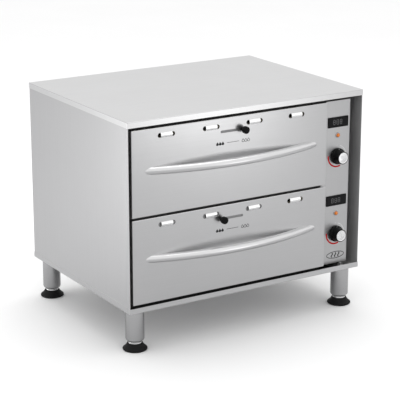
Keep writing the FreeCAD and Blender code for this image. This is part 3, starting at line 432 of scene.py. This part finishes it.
def rubber(name, tone, roughness=0.6):
    """Matte rubber or silicone with a fine pebble and a paler bloom."""
    material, tree, shader = start_material(name, {"Specular IOR Level": 0.12})
    bloom = noise(tree, 40.0, 4.0)
    tint = blend_tints(tree, bloom, (tone, tone, tone), (tone * 1.8, tone * 1.8, tone * 1.85))
    tree.links.new(tint, shader.inputs["Base Color"])
    vary_gloss(tree, shader, bloom, roughness - 0.08, roughness + 0.1)
    emboss(tree, shader, noise(tree, 900.0), 0.2, 0.0002)
    return material


foot_steel = brushed_steel("foot_steel", 0.75, ALONG_X, grain=0.2)
pad_rubber = rubber("pad_rubber", 0.007)
for corner in CORNERS:
    low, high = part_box(f"{corner}_foot_stem")
    centre = ((low[0] + high[0]) / 2, (low[1] + high[1]) / 2, 0)
    radius = (high[0] - low[0]) / 2
    pad_low, pad_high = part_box(f"{corner}_foot_pad")
    rim = (pad_high[0] - pad_low[0]) / 2
    collar = pad_high[2] + 0.0035
    profile = soft_profile(
        (0, low[2], 0), (radius - 0.0005, low[2], 0.0004), (radius, collar - 2 * GROOVE, 0.0003),
        (radius - GROOVE, collar, 0.0002), (radius, collar + 2 * GROOVE, 0.0003),
        (radius, high[2], 0.0006), (radius - 2 * LEG_WALL, high[2], 0),
        (radius - 2 * LEG_WALL, low[2] + LEG_PLATE, 0), (0, low[2] + LEG_PLATE, 0))
    stem = add_surface(f"{corner}_foot_insert", lathe(profile, centre), wrap_v=True)
    body = f"{corner}_foot"
    finish_piece(stem, body, "foot_steel", foot_steel, f"{corner}_foot_stem")
    neck = radius + 0.0032
    profile = soft_profile(
        (0, 0, 0), (rim - 0.0025, 0, 0.0008), (rim, 0.0022, 0.0012), (rim, 0.0052, 0.0014),
        (rim - 0.0065, 0.0105, 0.003), (neck + 0.0006, 0.0165, 0.002), (neck, pad_high[2], 0.0008),
        (radius + 0.0001, pad_high[2], 0.0003), (radius + 0.0001, low[2], 0), (0, low[2], 0))
    pad = add_surface(f"{corner}_foot_sole", lathe(profile, centre), wrap_v=True)
    finish_piece(pad, body, "foot_rubber", pad_rubber, f"{corner}_foot_pad")

# ---------------------------------------------------------------- damper knobs
# Black moulded mushroom knobs; each one's stem passes the guide slot and carries the vent damper.

KNOB_NECK = 0.0055


def moulded_plastic(name, tone, roughness):
    """Moulded plastic with a fine spark-eroded grain and faint handling marks."""
    material, tree, shader = start_material(name, {"Specular IOR Level": 0.1})
    smears = noise(tree, 90.0, 3.0)
    tint = blend_tints(tree, smears, (tone, tone, tone), (tone * 1.5, tone * 1.5, tone * 1.5))
    tree.links.new(tint, shader.inputs["Base Color"])
    vary_gloss(tree, shader, smears, roughness - 0.06, roughness + 0.08)
    emboss(tree, shader, noise(tree, 1500.0), 0.12, 0.0001)
    return material


damper_plastic = moulded_plastic("damper_plastic", 0.003, 0.4)
for storey in ("lower", "upper"):
    low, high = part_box(f"{storey}_damper_knob")
    radius = (high[0] - low[0]) / 2
    centre = ((low[0] + high[0]) / 2, high[1], (low[2] + high[2]) / 2)
    length = high[1] - low[1]
    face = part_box(f"{storey}_drawer_handle")[1][1]
    start = high[1] - face + 0.0006
    profile = soft_profile(
        (0, 0, 0), (0.003, 0, 0), (0.003, start, 0), (KNOB_NECK, start, 0.0003),
        (KNOB_NECK, start + 0.0045, 0.001), (radius, start + 0.009, 0.003), (radius, length - 0.0004, 0.0022),
        (radius * 0.45, length, 0.001), (0, length, 0))
    knob = add_surface(f"{storey}_damper_button", lathe(profile, centre, "front", 48), wrap_v=True)
    finish_piece(knob, f"{storey}_damper_slider", "damper_knob_plastic", damper_plastic, f"{storey}_damper_knob")
# The damper strips' dark grey is painted shade, for the vent slots they show through.
dress(brushed_steel("damper_steel", 0.30, ALONG_X, grain=0.45), "lower_damper", "upper_damper")

# ---------------------------------------------------------------- thermostat knobs
# Black moulded knob with a skirt and fluted grip, a white pointer and a turned aluminium cap.

SKIRT = 0.006
SHAFT_HOLE = 0.00305
SHAFT_DEPTH = 0.019
HOT_RADIUS = 0.0306
HOT_WIDTH = 0.0044
WARM_RADIUS = 0.0302
WARM_WIDTH = 0.0022
FLUTES = 18
CAP_RADIUS = 0.0158


def fluted(profile, centre, flutes, depth, first, last, columns=144):
    """A lathe about the way to the front whose radius dips by depth * (0.5 - 0.5 cos(flutes * t)) between
    two heights, fading over a fifth of the way at each end, and never on the axis itself."""
    turn = np.linspace(0, 2 * np.pi, columns, endpoint=False)[None, :]
    distance, height = profile[:, :1], profile[:, 1:2]
    way = np.clip((height - first) / (last - first), 0, 1)
    fade = np.clip(5 * way, 0, 1) * np.clip(5 * (1 - way), 0, 1)
    radius = distance - depth * fade * (distance > depth) * (0.5 - 0.5 * np.cos(flutes * turn))
    return np.stack([radius * np.cos(turn), -height + 0 * turn, radius * np.sin(turn)], axis=-1) + np.array(centre)


def turned_aluminium():
    """Bright turned cap: rings round its middle, drawn out by an anisotropic gloss."""
    material, tree, shader = start_material("turned_aluminium", {"Metallic": 1.0, "Anisotropic": 0.9})
    around = add_node(tree, "Tangent", direction_type="RADIAL", axis="Y")
    tree.links.new(around.outputs["Tangent"], shader.inputs["Tangent"])
    rings = noise(tree, 2500.0)
    tint = blend_tints(tree, rings, (0.93, 0.93, 0.94), (1.0, 1.0, 1.0))
    tree.links.new(tint, shader.inputs["Base Color"])
    vary_gloss(tree, shader, rings, 0.2, 0.32)
    return material


def ink(name, color, roughness=0.7):
    """Printed ink, a little uneven."""
    material, tree, shader = start_material(name, {"Roughness": roughness, "Specular IOR Level": 0.15})
    tint = blend_tints(tree, noise(tree, 600.0), color, [0.8 * part for part in color])
    tree.links.new(tint, shader.inputs["Base Color"])
    return material


def slab(outline, face, thickness):
    """A flat outline of (x, z) points on a face that looks to the front, closed to a slab of a thickness."""
    outline = np.asarray(outline, float)
    middle = np.repeat(outline.mean(axis=0)[None], len(outline), axis=0)
    levels = ((middle, face), (outline, face), (outline, face - thickness), (middle, face - thickness))
    return np.stack([np.stack([ring[:, 0], np.full(len(ring), y), ring[:, 1]], axis=-1) for ring, y in levels])


def arc(centre, radius, start, end, steps=40):
    """Path of (x, z) points round a centre, from one angle to another, in degrees from +X."""
    turn = np.radians(np.linspace(start, end, steps))
    return np.asarray(centre) + radius * np.stack([np.cos(turn), np.sin(turn)], axis=-1)


def stroke(path, width, face, thickness, closed=False):
    """A flat line of a width along a path of (x, z) points: path -+ width / 2 times its normal."""
    path = np.asarray(path, float)
    padded = np.concatenate([path[-1:], path, path[:1]])
    along = padded[2:] - padded[:-2] if closed else np.gradient(path, axis=0)
    across = np.stack([-along[:, 1], along[:, 0]], axis=-1) / np.linalg.norm(along, axis=1, keepdims=True)
    near, far = path - across * width / 2, path + across * width / 2
    levels = ((near, face), (far, face), (far, face - thickness), (near, face - thickness))
    edges = [np.stack([edge[:, 0], np.full(len(edge), y), edge[:, 1]], axis=-1) for edge, y in levels]
    tube = np.stack(edges, axis=1)
    if closed:
        return np.concatenate([tube, tube[:1]])
    ends = [np.repeat(tube[row:row + 1].mean(axis=1, keepdims=True), 4, axis=1) for row in (0, len(path) - 1)]
    return np.concatenate([ends[0], tube, ends[1]])


knob_plastic = moulded_plastic("knob_plastic", 0.003, 0.36)
cap_metal = turned_aluminium()
white_ink = ink("white_ink", (0.85, 0.85, 0.85))
red_ink = ink("red_ink", (0.60, 0.012, 0.014))
PRINT = 0.00015
panel_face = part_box("control_panel")[0][1]
for storey in ("lower", "upper"):
    cad_name = f"{storey}_thermostat_knob"
    low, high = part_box(cad_name)
    radius = (high[0] - low[0]) / 2
    length = high[1] - low[1]
    centre = ((low[0] + high[0]) / 2, high[1], (low[2] + high[2]) / 2)
    grip = CAP_RADIUS + 0.0022
    body = f"{storey}_knob"
    profile = soft_profile(
        (SHAFT_HOLE, 0, 0), (radius, 0, 0.0006), (radius, SKIRT - 0.001, 0.0012), (grip + 0.002, SKIRT, 0.0012),
        (grip, length - 0.0006, 0.0010), (CAP_RADIUS, length - 0.0006, 0.0002), (CAP_RADIUS, length - 0.0012, 0),
        (0, length - 0.0012, 0), (0, SHAFT_DEPTH, 0), (SHAFT_HOLE, SHAFT_DEPTH, 0))
    knob = add_surface(f"{storey}_knob_moulding",
                       fluted(profile, centre, FLUTES, 0.0009, SKIRT + 0.001, length - 0.001),
                       wrap_u=True, wrap_v=True)
    finish_piece(knob, body, "knob_plastic", knob_plastic, cad_name)
    profile = soft_profile(
        (0, length - 0.0013, 0), (CAP_RADIUS - 0.0001, length - 0.0013, 0),
        (CAP_RADIUS - 0.0001, length - 0.0003, 0.0004), (CAP_RADIUS - 0.0012, length - 0.0001, 0.0004),
        (CAP_RADIUS - 0.002, length - 0.0010, 0.0003), (CAP_RADIUS * 0.5, length - 0.0003, 0.004), (0, length, 0))
    cap = add_surface(f"{storey}_knob_cap", lathe(profile, centre, "front"), wrap_v=True)
    finish_piece(cap, body, "knob_plastic", cap_metal)
    pointer = np.array([(-0.0007, grip + 0.0025), (0.0007, grip + 0.0025), (0.0007, radius - 0.0012),
                        (-0.0007, radius - 0.0012)]) + (centre[0], centre[2])
    mark = add_surface(f"{storey}_knob_pointer", slab(pointer, centre[1] - SKIRT, PRINT), wrap_v=True, smooth=False)
    finish_piece(mark, body, "knob_plastic", white_ink)
    middle = np.array((centre[0], centre[2]))
    hot = add_surface(f"{storey}_hot_scale", stroke(arc(middle, HOT_RADIUS, 174, 292), HOT_WIDTH, panel_face, PRINT),
                      wrap_v=True, smooth=False)
    finish_piece(hot, "cabinet", "frame_steel", red_ink)
    off_mark = middle + np.array([(0, 0.0290), (0, 0.0325)])
    warm = add_surface(f"{storey}_warm_scale", stroke(arc(middle, WARM_RADIUS, 5, 72), WARM_WIDTH, panel_face, PRINT),
                       stroke(off_mark, 0.0012, panel_face, PRINT), wrap_v=True, smooth=False)
    finish_piece(warm, "cabinet", "frame_steel", white_ink)

# ---------------------------------------------------------------- displays
# A moulded case clipped through the column, with a dark window and three unlit seven-bar figures behind it.

CASE_INSET = 0.003
WINDOW_INSET = 0.0026
WINDOW_DROP = 0.0012
FIGURE_HEIGHT = 0.0125
FIGURE_WIDTH = 0.0066
FIGURE_PITCH = 0.0115


def rounded_rings(centre, width, height, corner, profile, axis="front", steps=8):
    """Rings of a rounded rectangle, one for each (inset, level) of a profile.

    A ring has the half sides width / 2 - inset and height / 2 - inset, and the corner radius
    r = max(corner - inset, 0). Its points are the corners' centres plus r (cos t, sin t)."""
    inset, level = profile[:, :1], profile[:, 1:2]
    radius = np.maximum(corner - inset, 0.0)
    turn = (np.pi / 2 * (np.arange(4)[:, None] + np.linspace(0, 1, steps)[None, :])).reshape(1, -1)
    side = np.repeat(np.array([(1, 1), (-1, 1), (-1, -1), (1, -1)]), steps, axis=0)
    across = side[:, 0] * (width / 2 - inset - radius) + radius * np.cos(turn)
    other = side[:, 1] * (height / 2 - inset - radius) + radius * np.sin(turn)
    level = level + 0 * across
    grid = (across, -level, other) if axis == "front" else (across, other, level)
    return np.stack(grid, axis=-1) + np.array(centre)


def smoked_window():
    """Dark glossy window, very slightly streaked by wiping."""
    material, tree, shader = start_material("smoked_window", {"Specular IOR Level": 0.2})
    wipe = noise(tree, 120.0, distortion=1.5)
    tint = blend_tints(tree, wipe, (0.003, 0.003, 0.0035), (0.008, 0.008, 0.009))
    tree.links.new(tint, shader.inputs["Base Color"])
    vary_gloss(tree, shader, wipe, 0.12, 0.28)
    return material


def figure_bars(centre):
    """The seven bars of a figure eight: each is a hexagon between two corners of two stacked squares."""
    half, tall = FIGURE_WIDTH / 2, FIGURE_HEIGHT / 2
    corners = {(x, z): np.array([x * half, z * tall]) for x in (-1, 1) for z in (-1, 0, 1)}
    pairs = [((-1, z), (1, z)) for z in (-1, 0, 1)] + [((x, z), (x, z + 1)) for x in (-1, 1) for z in (-1, 0)]
    bars = []
    for first, last in pairs:
        start, end = corners[first], corners[last]
        along = (end - start) / np.linalg.norm(end - start)
        across = np.array([-along[1], along[0]]) * 0.0006
        start, end = start + 0.0003 * along, end - 0.0003 * along
        bars.append(np.array([start, start + 0.0006 * along + across, end - 0.0006 * along + across, end,
                              end - 0.0006 * along - across, start + 0.0006 * along - across]) + centre)
    return bars


display_plastic = moulded_plastic("display_plastic", 0.004, 0.38)
window_plastic = smoked_window()
figure_ink = ink("figure_ink", (0.20, 0.20, 0.205), 0.35)
for storey in ("lower", "upper"):
    cad_name = f"{storey}_control_display"
    low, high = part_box(cad_name)
    centre = ((low[0] + high[0]) / 2, panel_face, (low[2] + high[2]) / 2)
    width, height, reach = high[0] - low[0], high[2] - low[2], panel_face - low[1]
    rear = panel_face - high[1]
    profile = soft_profile(
        (height / 2, rear, 0), (CASE_INSET, rear, 0.001), (CASE_INSET, 0, 0), (0, 0, 0.0002),
        (0, reach, 0.0009), (WINDOW_INSET - 0.0004, reach, 0.0004), (WINDOW_INSET, reach - WINDOW_DROP, 0.0001),
        (height / 2, reach - WINDOW_DROP, 0))
    case = add_surface(f"{storey}_display_case", rounded_rings(centre, width, height, 0.0016, profile), wrap_v=True)
    finish_piece(case, "cabinet", "display_plastic", display_plastic, cad_name)
    window_face = reach - WINDOW_DROP + 0.0003
    profile = soft_profile(
        (height / 2, window_face - 0.00025, 0), (WINDOW_INSET + 0.0001, window_face - 0.00025, 0),
        (WINDOW_INSET + 0.0001, window_face, 0.0001), (height / 2, window_face, 0))
    pane = rounded_rings(centre, width, height, 0.003, profile)
    window = add_surface(f"{storey}_display_window", pane, wrap_v=True)
    finish_piece(window, "cabinet", "display_plastic", window_plastic)
    bars = [
        slab(bar, panel_face - window_face - 0.00002, 0.00005)
        for place in (-1, 0, 1)
        for bar in figure_bars(np.array([centre[0] - 0.002 + place * FIGURE_PITCH, centre[2]]))
    ]
    figures = add_surface(f"{storey}_display_figures", *bars, wrap_v=True, smooth=False)
    finish_piece(figures, "cabinet", "display_plastic", figure_ink)

# ---------------------------------------------------------------- pilot lamps
# A plated bezel and barrel pushed through the column, with a domed amber lens.

LAMP_BEZEL = 0.0075
LAMP_BARREL = 0.005
LAMP_RIM = 0.002
LAMP_LENS = 0.0052


def amber_lens():
    """Amber moulded lens, unevenly coloured, with a clear glossy skin and a faint glow."""
    sockets = {"Coat Weight": 0.6, "Coat Roughness": 0.03, "Emission Strength": 0.1}
    material, tree, shader = start_material("amber_lens", sockets)
    cloud = noise(tree, 350.0)
    tint = blend_tints(tree, cloud, (0.80, 0.23, 0.010), (0.62, 0.15, 0.008))
    for socket in ("Base Color", "Emission Color"):
        tree.links.new(tint, shader.inputs[socket])
    vary_gloss(tree, shader, cloud, 0.12, 0.25)
    return material


lamp_plating = brushed_steel("lamp_plating", 0.5, ALONG_Y, grain=0.14, depth=0.1)
lamp_amber = amber_lens()
for storey in ("lower", "upper"):
    cad_name = f"{storey}_indicator_lamp"
    low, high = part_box(cad_name)
    centre = ((low[0] + high[0]) / 2, panel_face, (low[2] + high[2]) / 2)
    reach, rear = panel_face - low[1], panel_face - high[1]
    profile = soft_profile(
        (0, rear, 0), (LAMP_BARREL, rear, 0.0006), (LAMP_BARREL, 0, 0), (LAMP_BEZEL, 0, 0.0002),
        (LAMP_BEZEL, LAMP_RIM, 0.0011), (LAMP_LENS + 0.0002, LAMP_RIM, 0.0002), (LAMP_LENS + 0.0002, 0.001, 0),
        (0, 0.001, 0))
    bezel = add_surface(f"{storey}_lamp_bezel", lathe(profile, centre, "front", 48), wrap_v=True)
    finish_piece(bezel, "cabinet", "frame_steel", lamp_plating, cad_name)
    profile = soft_profile((0, 0.00105, 0), (LAMP_LENS, 0.00105, 0.0002), (LAMP_LENS, reach, 0.0042), (0, reach, 0))
    lens = add_surface(f"{storey}_lamp_lens", lathe(profile, centre, "front", 48), wrap_v=True)
    finish_piece(lens, "cabinet", "lamp_amber", lamp_amber)

# ---------------------------------------------------------------- printed marks
# Etched dark marks: under each damper slot full drops, a line and empty drops, for moist and dry;
# at the foot of the column a plain oval with three waves of warm air.

MARK_DROP = 0.0315
MARK_SPAN = 0.098
DROP_HEIGHT = 0.0095
DROP_PITCH = 0.0085
LINE_WIDTH = 0.0011
LINE_INSET = 0.030
BADGE_WIDTH = 0.062
BADGE_HEIGHT = 0.021
BADGE_LEVEL = 0.042
OVAL_WIDTH = 0.0019
WAVE_WIDTH = 0.0032
WAVE_PITCH = 0.0115


def drop_outline(middle, height, steps=36):
    """Drop with its point up: x = 0.62 h sin t sin(t / 2)^1.5, z = h / 2 cos t."""
    turn = np.linspace(0, 2 * np.pi, steps, endpoint=False)
    across = 0.62 * height * np.sin(turn) * np.sin(turn / 2) ** 1.5
    return np.stack([middle[0] + across, middle[1] + height / 2 * np.cos(turn)], axis=-1)


mark_ink = ink("mark_ink", (0.035, 0.035, 0.037))
for storey in ("lower", "upper"):
    low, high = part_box(f"{storey}_damper_knob")
    front_low, front_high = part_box(f"{storey}_drawer_front")
    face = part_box(f"{storey}_drawer_handle")[1][1]
    middle_x = (front_low[0] + front_high[0]) / 2
    level = (low[2] + high[2]) / 2 - MARK_DROP
    left_x, right_x = middle_x - MARK_SPAN / 2, middle_x + MARK_SPAN / 2
    drops = [(end + way * DROP_PITCH, level) for way in range(3) for end in (left_x, right_x - 2 * DROP_PITCH)]
    full = [slab(drop_outline(drop, DROP_HEIGHT), face, PRINT).transpose(1, 0, 2) for drop in drops[::2]]
    empty = [stroke(drop_outline(drop, 0.9 * DROP_HEIGHT)[2:-1], LINE_WIDTH + 0.0001, face, PRINT, closed=True)
             for drop in drops[1::2]]
    line = [(left_x + LINE_INSET, level), (right_x - LINE_INSET, level)]
    moist = add_surface(f"{storey}_full_drops", *full, wrap_u=True, smooth=False)
    finish_piece(moist, f"{storey}_drawer", "drawer_steel", mark_ink)
    empty.append(stroke(line, LINE_WIDTH, face, PRINT))
    dry = add_surface(f"{storey}_empty_drops", *empty, wrap_v=True, smooth=False)
    finish_piece(dry, f"{storey}_drawer", "drawer_steel", mark_ink)

tray_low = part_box("bottom_tray")[0][2]
display_low, display_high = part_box("lower_control_display")
badge_middle = ((display_low[0] + display_high[0]) / 2 + 0.002, tray_low + BADGE_LEVEL)
turn = np.linspace(0, 2 * np.pi, 72, endpoint=False)
oval = np.stack([badge_middle[0] + (BADGE_WIDTH / 2 - 0.001) * np.cos(turn),
                 badge_middle[1] + (BADGE_HEIGHT / 2 - 0.001) * np.sin(turn)], axis=-1)
rise = np.linspace(-1, 1, 25)
waves = [
    np.stack([badge_middle[0] + shift + 0.0022 * np.sin(np.pi * rise), badge_middle[1] + 0.0062 * rise], axis=-1)
    for shift in (-WAVE_PITCH, 0, WAVE_PITCH)
]
badge = add_surface("column_badge", stroke(oval, OVAL_WIDTH, panel_face, PRINT, closed=True),
                    *[stroke(wave, WAVE_WIDTH, panel_face, PRINT) for wave in waves], wrap_v=True, smooth=False)
finish_piece(badge, "cabinet", "frame_steel", mark_ink)

# ---------------------------------------------------------------- rear: louvres, screws and gland
# Hoods pressed over the cooling slots, eight cross-point screws, and a nylon gland for the supply cable.

LOUVRE_WIDTH = 0.070
LOUVRE_HEIGHT = 0.005
LOUVRE_PITCH = 0.016
LOUVRE_ROWS = 8
LOUVRE_INSET = 0.060
HOOD_RISE = 0.0055
HOOD_SHEET = 0.001
SCREW_SHANK = 0.0019
SCREW_HEAD = 0.0038
GLAND_HEX = 0.006
GLAND_THREAD = 0.010
GLAND_BORE = 0.005


def louvre_hood(middle_x, low, face, columns=33, rows=9):
    """Hood that opens downwards: y = face + rise (1 - |u|^6) cos(90 v), z = low + height v, and inside it the
    same shape less the sheet, which thins out to nothing at both ends."""
    u = np.linspace(-1, 1, columns)[None, :]
    v = np.linspace(0, 1, rows)[:, None]
    swell = 1 - np.abs(u) ** 6
    height = LOUVRE_HEIGHT + 0.003
    skins = []
    for less, way in ((0.0, v), (HOOD_SHEET, v[::-1])):
        out = (HOOD_RISE - less) * swell * np.cos(np.pi / 2 * way)
        up = low - 0.001 + (height - less * swell) * way
        skins.append(np.stack([middle_x + (LOUVRE_WIDTH / 2 + 0.002) * u + 0 * way, face + out, up], axis=-1))
    return np.concatenate(skins)


gland_low, gland_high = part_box("cable_gland")
back_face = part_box("back_panel")[1][1]
gland_centre = ((gland_low[0] + gland_high[0]) / 2, back_face, (gland_low[2] + gland_high[2]) / 2)
lid_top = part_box("top_panel")[1][2]
slot_levels = [lid_top - LOUVRE_INSET - row * LOUVRE_PITCH for row in range(LOUVRE_ROWS)]
slot_levels += [gland_centre[2] + LOUVRE_INSET + row * LOUVRE_PITCH for row in range(LOUVRE_ROWS)]
hoods = add_surface("rear_louvres", *[louvre_hood(gland_centre[0], level, back_face) for level in slot_levels],
                    wrap_u=True, crease=50.0)
finish_piece(hoods, "cabinet", "casing_steel", nodes["back_panel"].material_slots[0].material)

screw_low, screw_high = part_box("back_panel_screws")
head_height, shank_end = screw_high[1] - back_face, screw_low[1] - back_face
profile = soft_profile(
    (0, shank_end, 0), (SCREW_SHANK, shank_end, 0.0003), (SCREW_SHANK, 0, 0), (SCREW_HEAD, 0, 0.0001),
    (SCREW_HEAD, head_height, 0.0015), (0.0014, head_height, 0.0001), (0.0005, head_height - 0.0012, 0.0001),
    (0, head_height - 0.0012, 0))
screw_x = (screw_low[0] + SCREW_HEAD, screw_high[0] - SCREW_HEAD)
screw_z = np.linspace(screw_low[2] + SCREW_HEAD, screw_high[2] - SCREW_HEAD, 4)
heads = [lathe(profile, (x, back_face, z), "back", 32) for x in screw_x for z in screw_z]
screws = add_surface("rear_screws", *heads, wrap_v=True)
fastener_steel = brushed_steel("fastener_steel", 0.62, ALONG_X, grain=0.28, depth=0.12)
finish_piece(screws, "cabinet", "fastener_steel", fastener_steel, "back_panel_screws")
dress(fastener_steel, "leg_nuts")


def gland_body(columns=144):
    """A lathe whose hexagon rows take the smaller of the radius and a cos 30 / cos(t mod 60 - 30), and whose
    cap rows are ribbed by 0.35 mm times cos 24 t."""
    end = gland_high[1] - back_face
    inside = gland_low[1] - back_face
    hexagon = (gland_high[0] - gland_low[0]) / 2
    profile = soft_profile(
        (GLAND_BORE, inside, 0), (GLAND_THREAD, inside, 0.0008), (GLAND_THREAD, 0, 0), (hexagon, 0, 0.0004),
        (hexagon, GLAND_HEX, 0.0012), (0.0108, GLAND_HEX + 0.0004, 0.0002), (0.0108, end - 0.004, 0.0015),
        (0.0085, end, 0.0012), (GLAND_BORE, end, 0.0006))
    turn = np.linspace(0, 2 * np.pi, columns, endpoint=False)[None, :]
    distance, height = profile[:, :1], profile[:, 1:2] + 0 * turn
    flat = hexagon * math.cos(math.pi / 6) / np.cos(np.mod(turn, np.pi / 3) - np.pi / 6)
    in_hexagon = (height > -1e-6) & (height < GLAND_HEX + 0.0003)
    in_cap = (height > GLAND_HEX + 0.001) & (height < end - 0.003) & (distance > 0.009)
    radius = np.where(in_hexagon, np.minimum(distance, flat), distance - 0.00035 * in_cap * (1 + np.cos(24 * turn)))
    grid = (-radius * np.cos(turn), height, radius * np.sin(turn))
    return np.stack(grid, axis=-1) + np.array(gland_centre)


gland = add_surface("supply_gland", gland_body(), wrap_u=True, wrap_v=True)
finish_piece(gland, "cabinet", "gland_plastic", moulded_plastic("gland_nylon", 0.02, 0.45), "cable_gland")

# ---------------------------------------------------------------- food pans
# Deep-drawn stainless pans of the full catering size: tapered walls, rounded corners and a flat rim.

PAN_SHEET = 0.0008
PAN_RIM = 0.011
PAN_TAPER = 0.006
PAN_CORNER = 0.036
PAN_ROUND = 0.016

pan_steel = brushed_steel("pan_steel", 0.78, ALONG_X, grain=0.2, depth=0.05, smudge=0.08)
for storey in ("lower", "upper"):
    cad_name = f"{storey}_food_pan"
    low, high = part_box(cad_name)
    width, length, depth = (high[axis] - low[axis] for axis in range(3))
    centre = ((low[0] + high[0]) / 2, (low[1] + high[1]) / 2, high[2])
    profile = soft_profile(
        (length / 2, PAN_SHEET - depth, 0), (PAN_RIM + PAN_TAPER + PAN_SHEET, PAN_SHEET - depth, PAN_ROUND),
        (PAN_RIM + PAN_SHEET, 0, 0.0028), (0, 0, 0.0003), (0, -PAN_SHEET, 0.0003), (PAN_RIM, -PAN_SHEET, 0.002),
        (PAN_RIM + PAN_TAPER, -depth, PAN_ROUND), (length / 2, -depth, 0))
    pan = add_surface(f"{storey}_drawn_pan",
                      rounded_rings(centre, width, length, PAN_CORNER + PAN_RIM, profile, "up", 12), wrap_v=True)
    finish_piece(pan, f"{storey}_drawer", "pan_steel", pan_steel, cad_name)
inner_steel = brushed_steel("inner_steel", 0.55, ALONG_X, grain=0.38, smudge=0.12)
dress(inner_steel, "lower_pan_frame", "upper_pan_frame", "lower_chamber", "upper_chamber")

# ---------------------------------------------------------------- seals
# A silicone seal round each chamber mouth, glued to the back of the drawer, with two sealing ribs.

GASKET_WIDTH = 0.010

gasket_rubber = rubber("gasket_rubber", 0.03, 0.5)
for storey in ("lower", "upper"):
    cad_name = f"{storey}_drawer_gasket"
    low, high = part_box(cad_name)
    centre = ((low[0] + high[0]) / 2, low[1], (low[2] + high[2]) / 2)
    thick = high[1] - low[1]
    way = np.linspace(0, 1, 25)
    ribs = np.stack([GASKET_WIDTH * way, -thick * (0.75 + 0.25 * np.cos(4 * np.pi * way))], axis=-1)
    profile = np.concatenate([[(0, 0)], ribs, [(GASKET_WIDTH, 0)]])
    seal = add_surface(f"{storey}_mouth_seal",
                       rounded_rings(centre, high[0] - low[0], high[2] - low[2], 0.002, profile),
                       wrap_u=True, wrap_v=True)
    finish_piece(seal, f"{storey}_drawer", "gasket_rubber", gasket_rubber, cad_name)

# ---------------------------------------------------------------- slides, rails, heaters and wool
# Zinc-plated slide members and rails, oxide-dark tubular heaters, mineral wool and the thermostats' cases.


def zinc_plate():
    """Zinc plating with a faint spangle of flat crystals and a dull bloom."""
    material, tree, shader = start_material("zinc_plate", {"Metallic": 1.0})
    place = add_node(tree, "TexCoord").outputs["Object"]
    crystals = add_node(tree, "TexVoronoi", {"Vector": place, "Scale": 160.0})
    tint = blend_tints(tree, crystals.outputs["Color"], (0.55, 0.56, 0.58), (0.68, 0.69, 0.70))
    tree.links.new(tint, shader.inputs["Base Color"])
    vary_gloss(tree, shader, crystals.outputs["Distance"], 0.28, 0.45)
    return material


def heat_stained():
    """Heater sheath: dark oxide with brown and blue temper colours in slow patches."""
    material, tree, shader = start_material("heat_stained", {"Metallic": 0.9})
    patches = noise(tree, 22.0, 5.0)
    temper = add_node(tree, "ValToRGB", {"Fac": patches})
    stops = ((0.35, (0.09, 0.075, 0.065, 1)), (0.7, (0.07, 0.08, 0.11, 1)))
    for element, (position, color) in zip(temper.color_ramp.elements, stops):
        element.position = position
        element.color = color
    tree.links.new(temper.outputs["Color"], shader.inputs["Base Color"])
    vary_gloss(tree, shader, patches, 0.42, 0.6)
    return material


def mineral_wool():
    """Pressed mineral wool: yellow-grey, with crossing fibres in its colour and relief."""
    material, tree, shader = start_material("mineral_wool", {"Roughness": 0.95})
    fibres = noise(tree, 260.0, 6.0, 3.0)
    tint = blend_tints(tree, fibres, (0.30, 0.27, 0.19), (0.52, 0.48, 0.36))
    tree.links.new(tint, shader.inputs["Base Color"])
    emboss(tree, shader, fibres, 0.6, 0.001)
    return material


dress(zinc_plate(), "slide_outer_members", "support_rails", "lower_slide_middle_members", "lower_slide_inner_members",
      "upper_slide_middle_members", "upper_slide_inner_members")
dress(heat_stained(), "lower_heater", "upper_heater")
dress(mineral_wool(), "chamber_insulation", "lower_drawer_insulation", "upper_drawer_insulation")
dress(brushed_steel("thermostat_metal", 0.55, ALONG_Z, grain=0.4, depth=0.1), "lower_thermostat", "upper_thermostat")
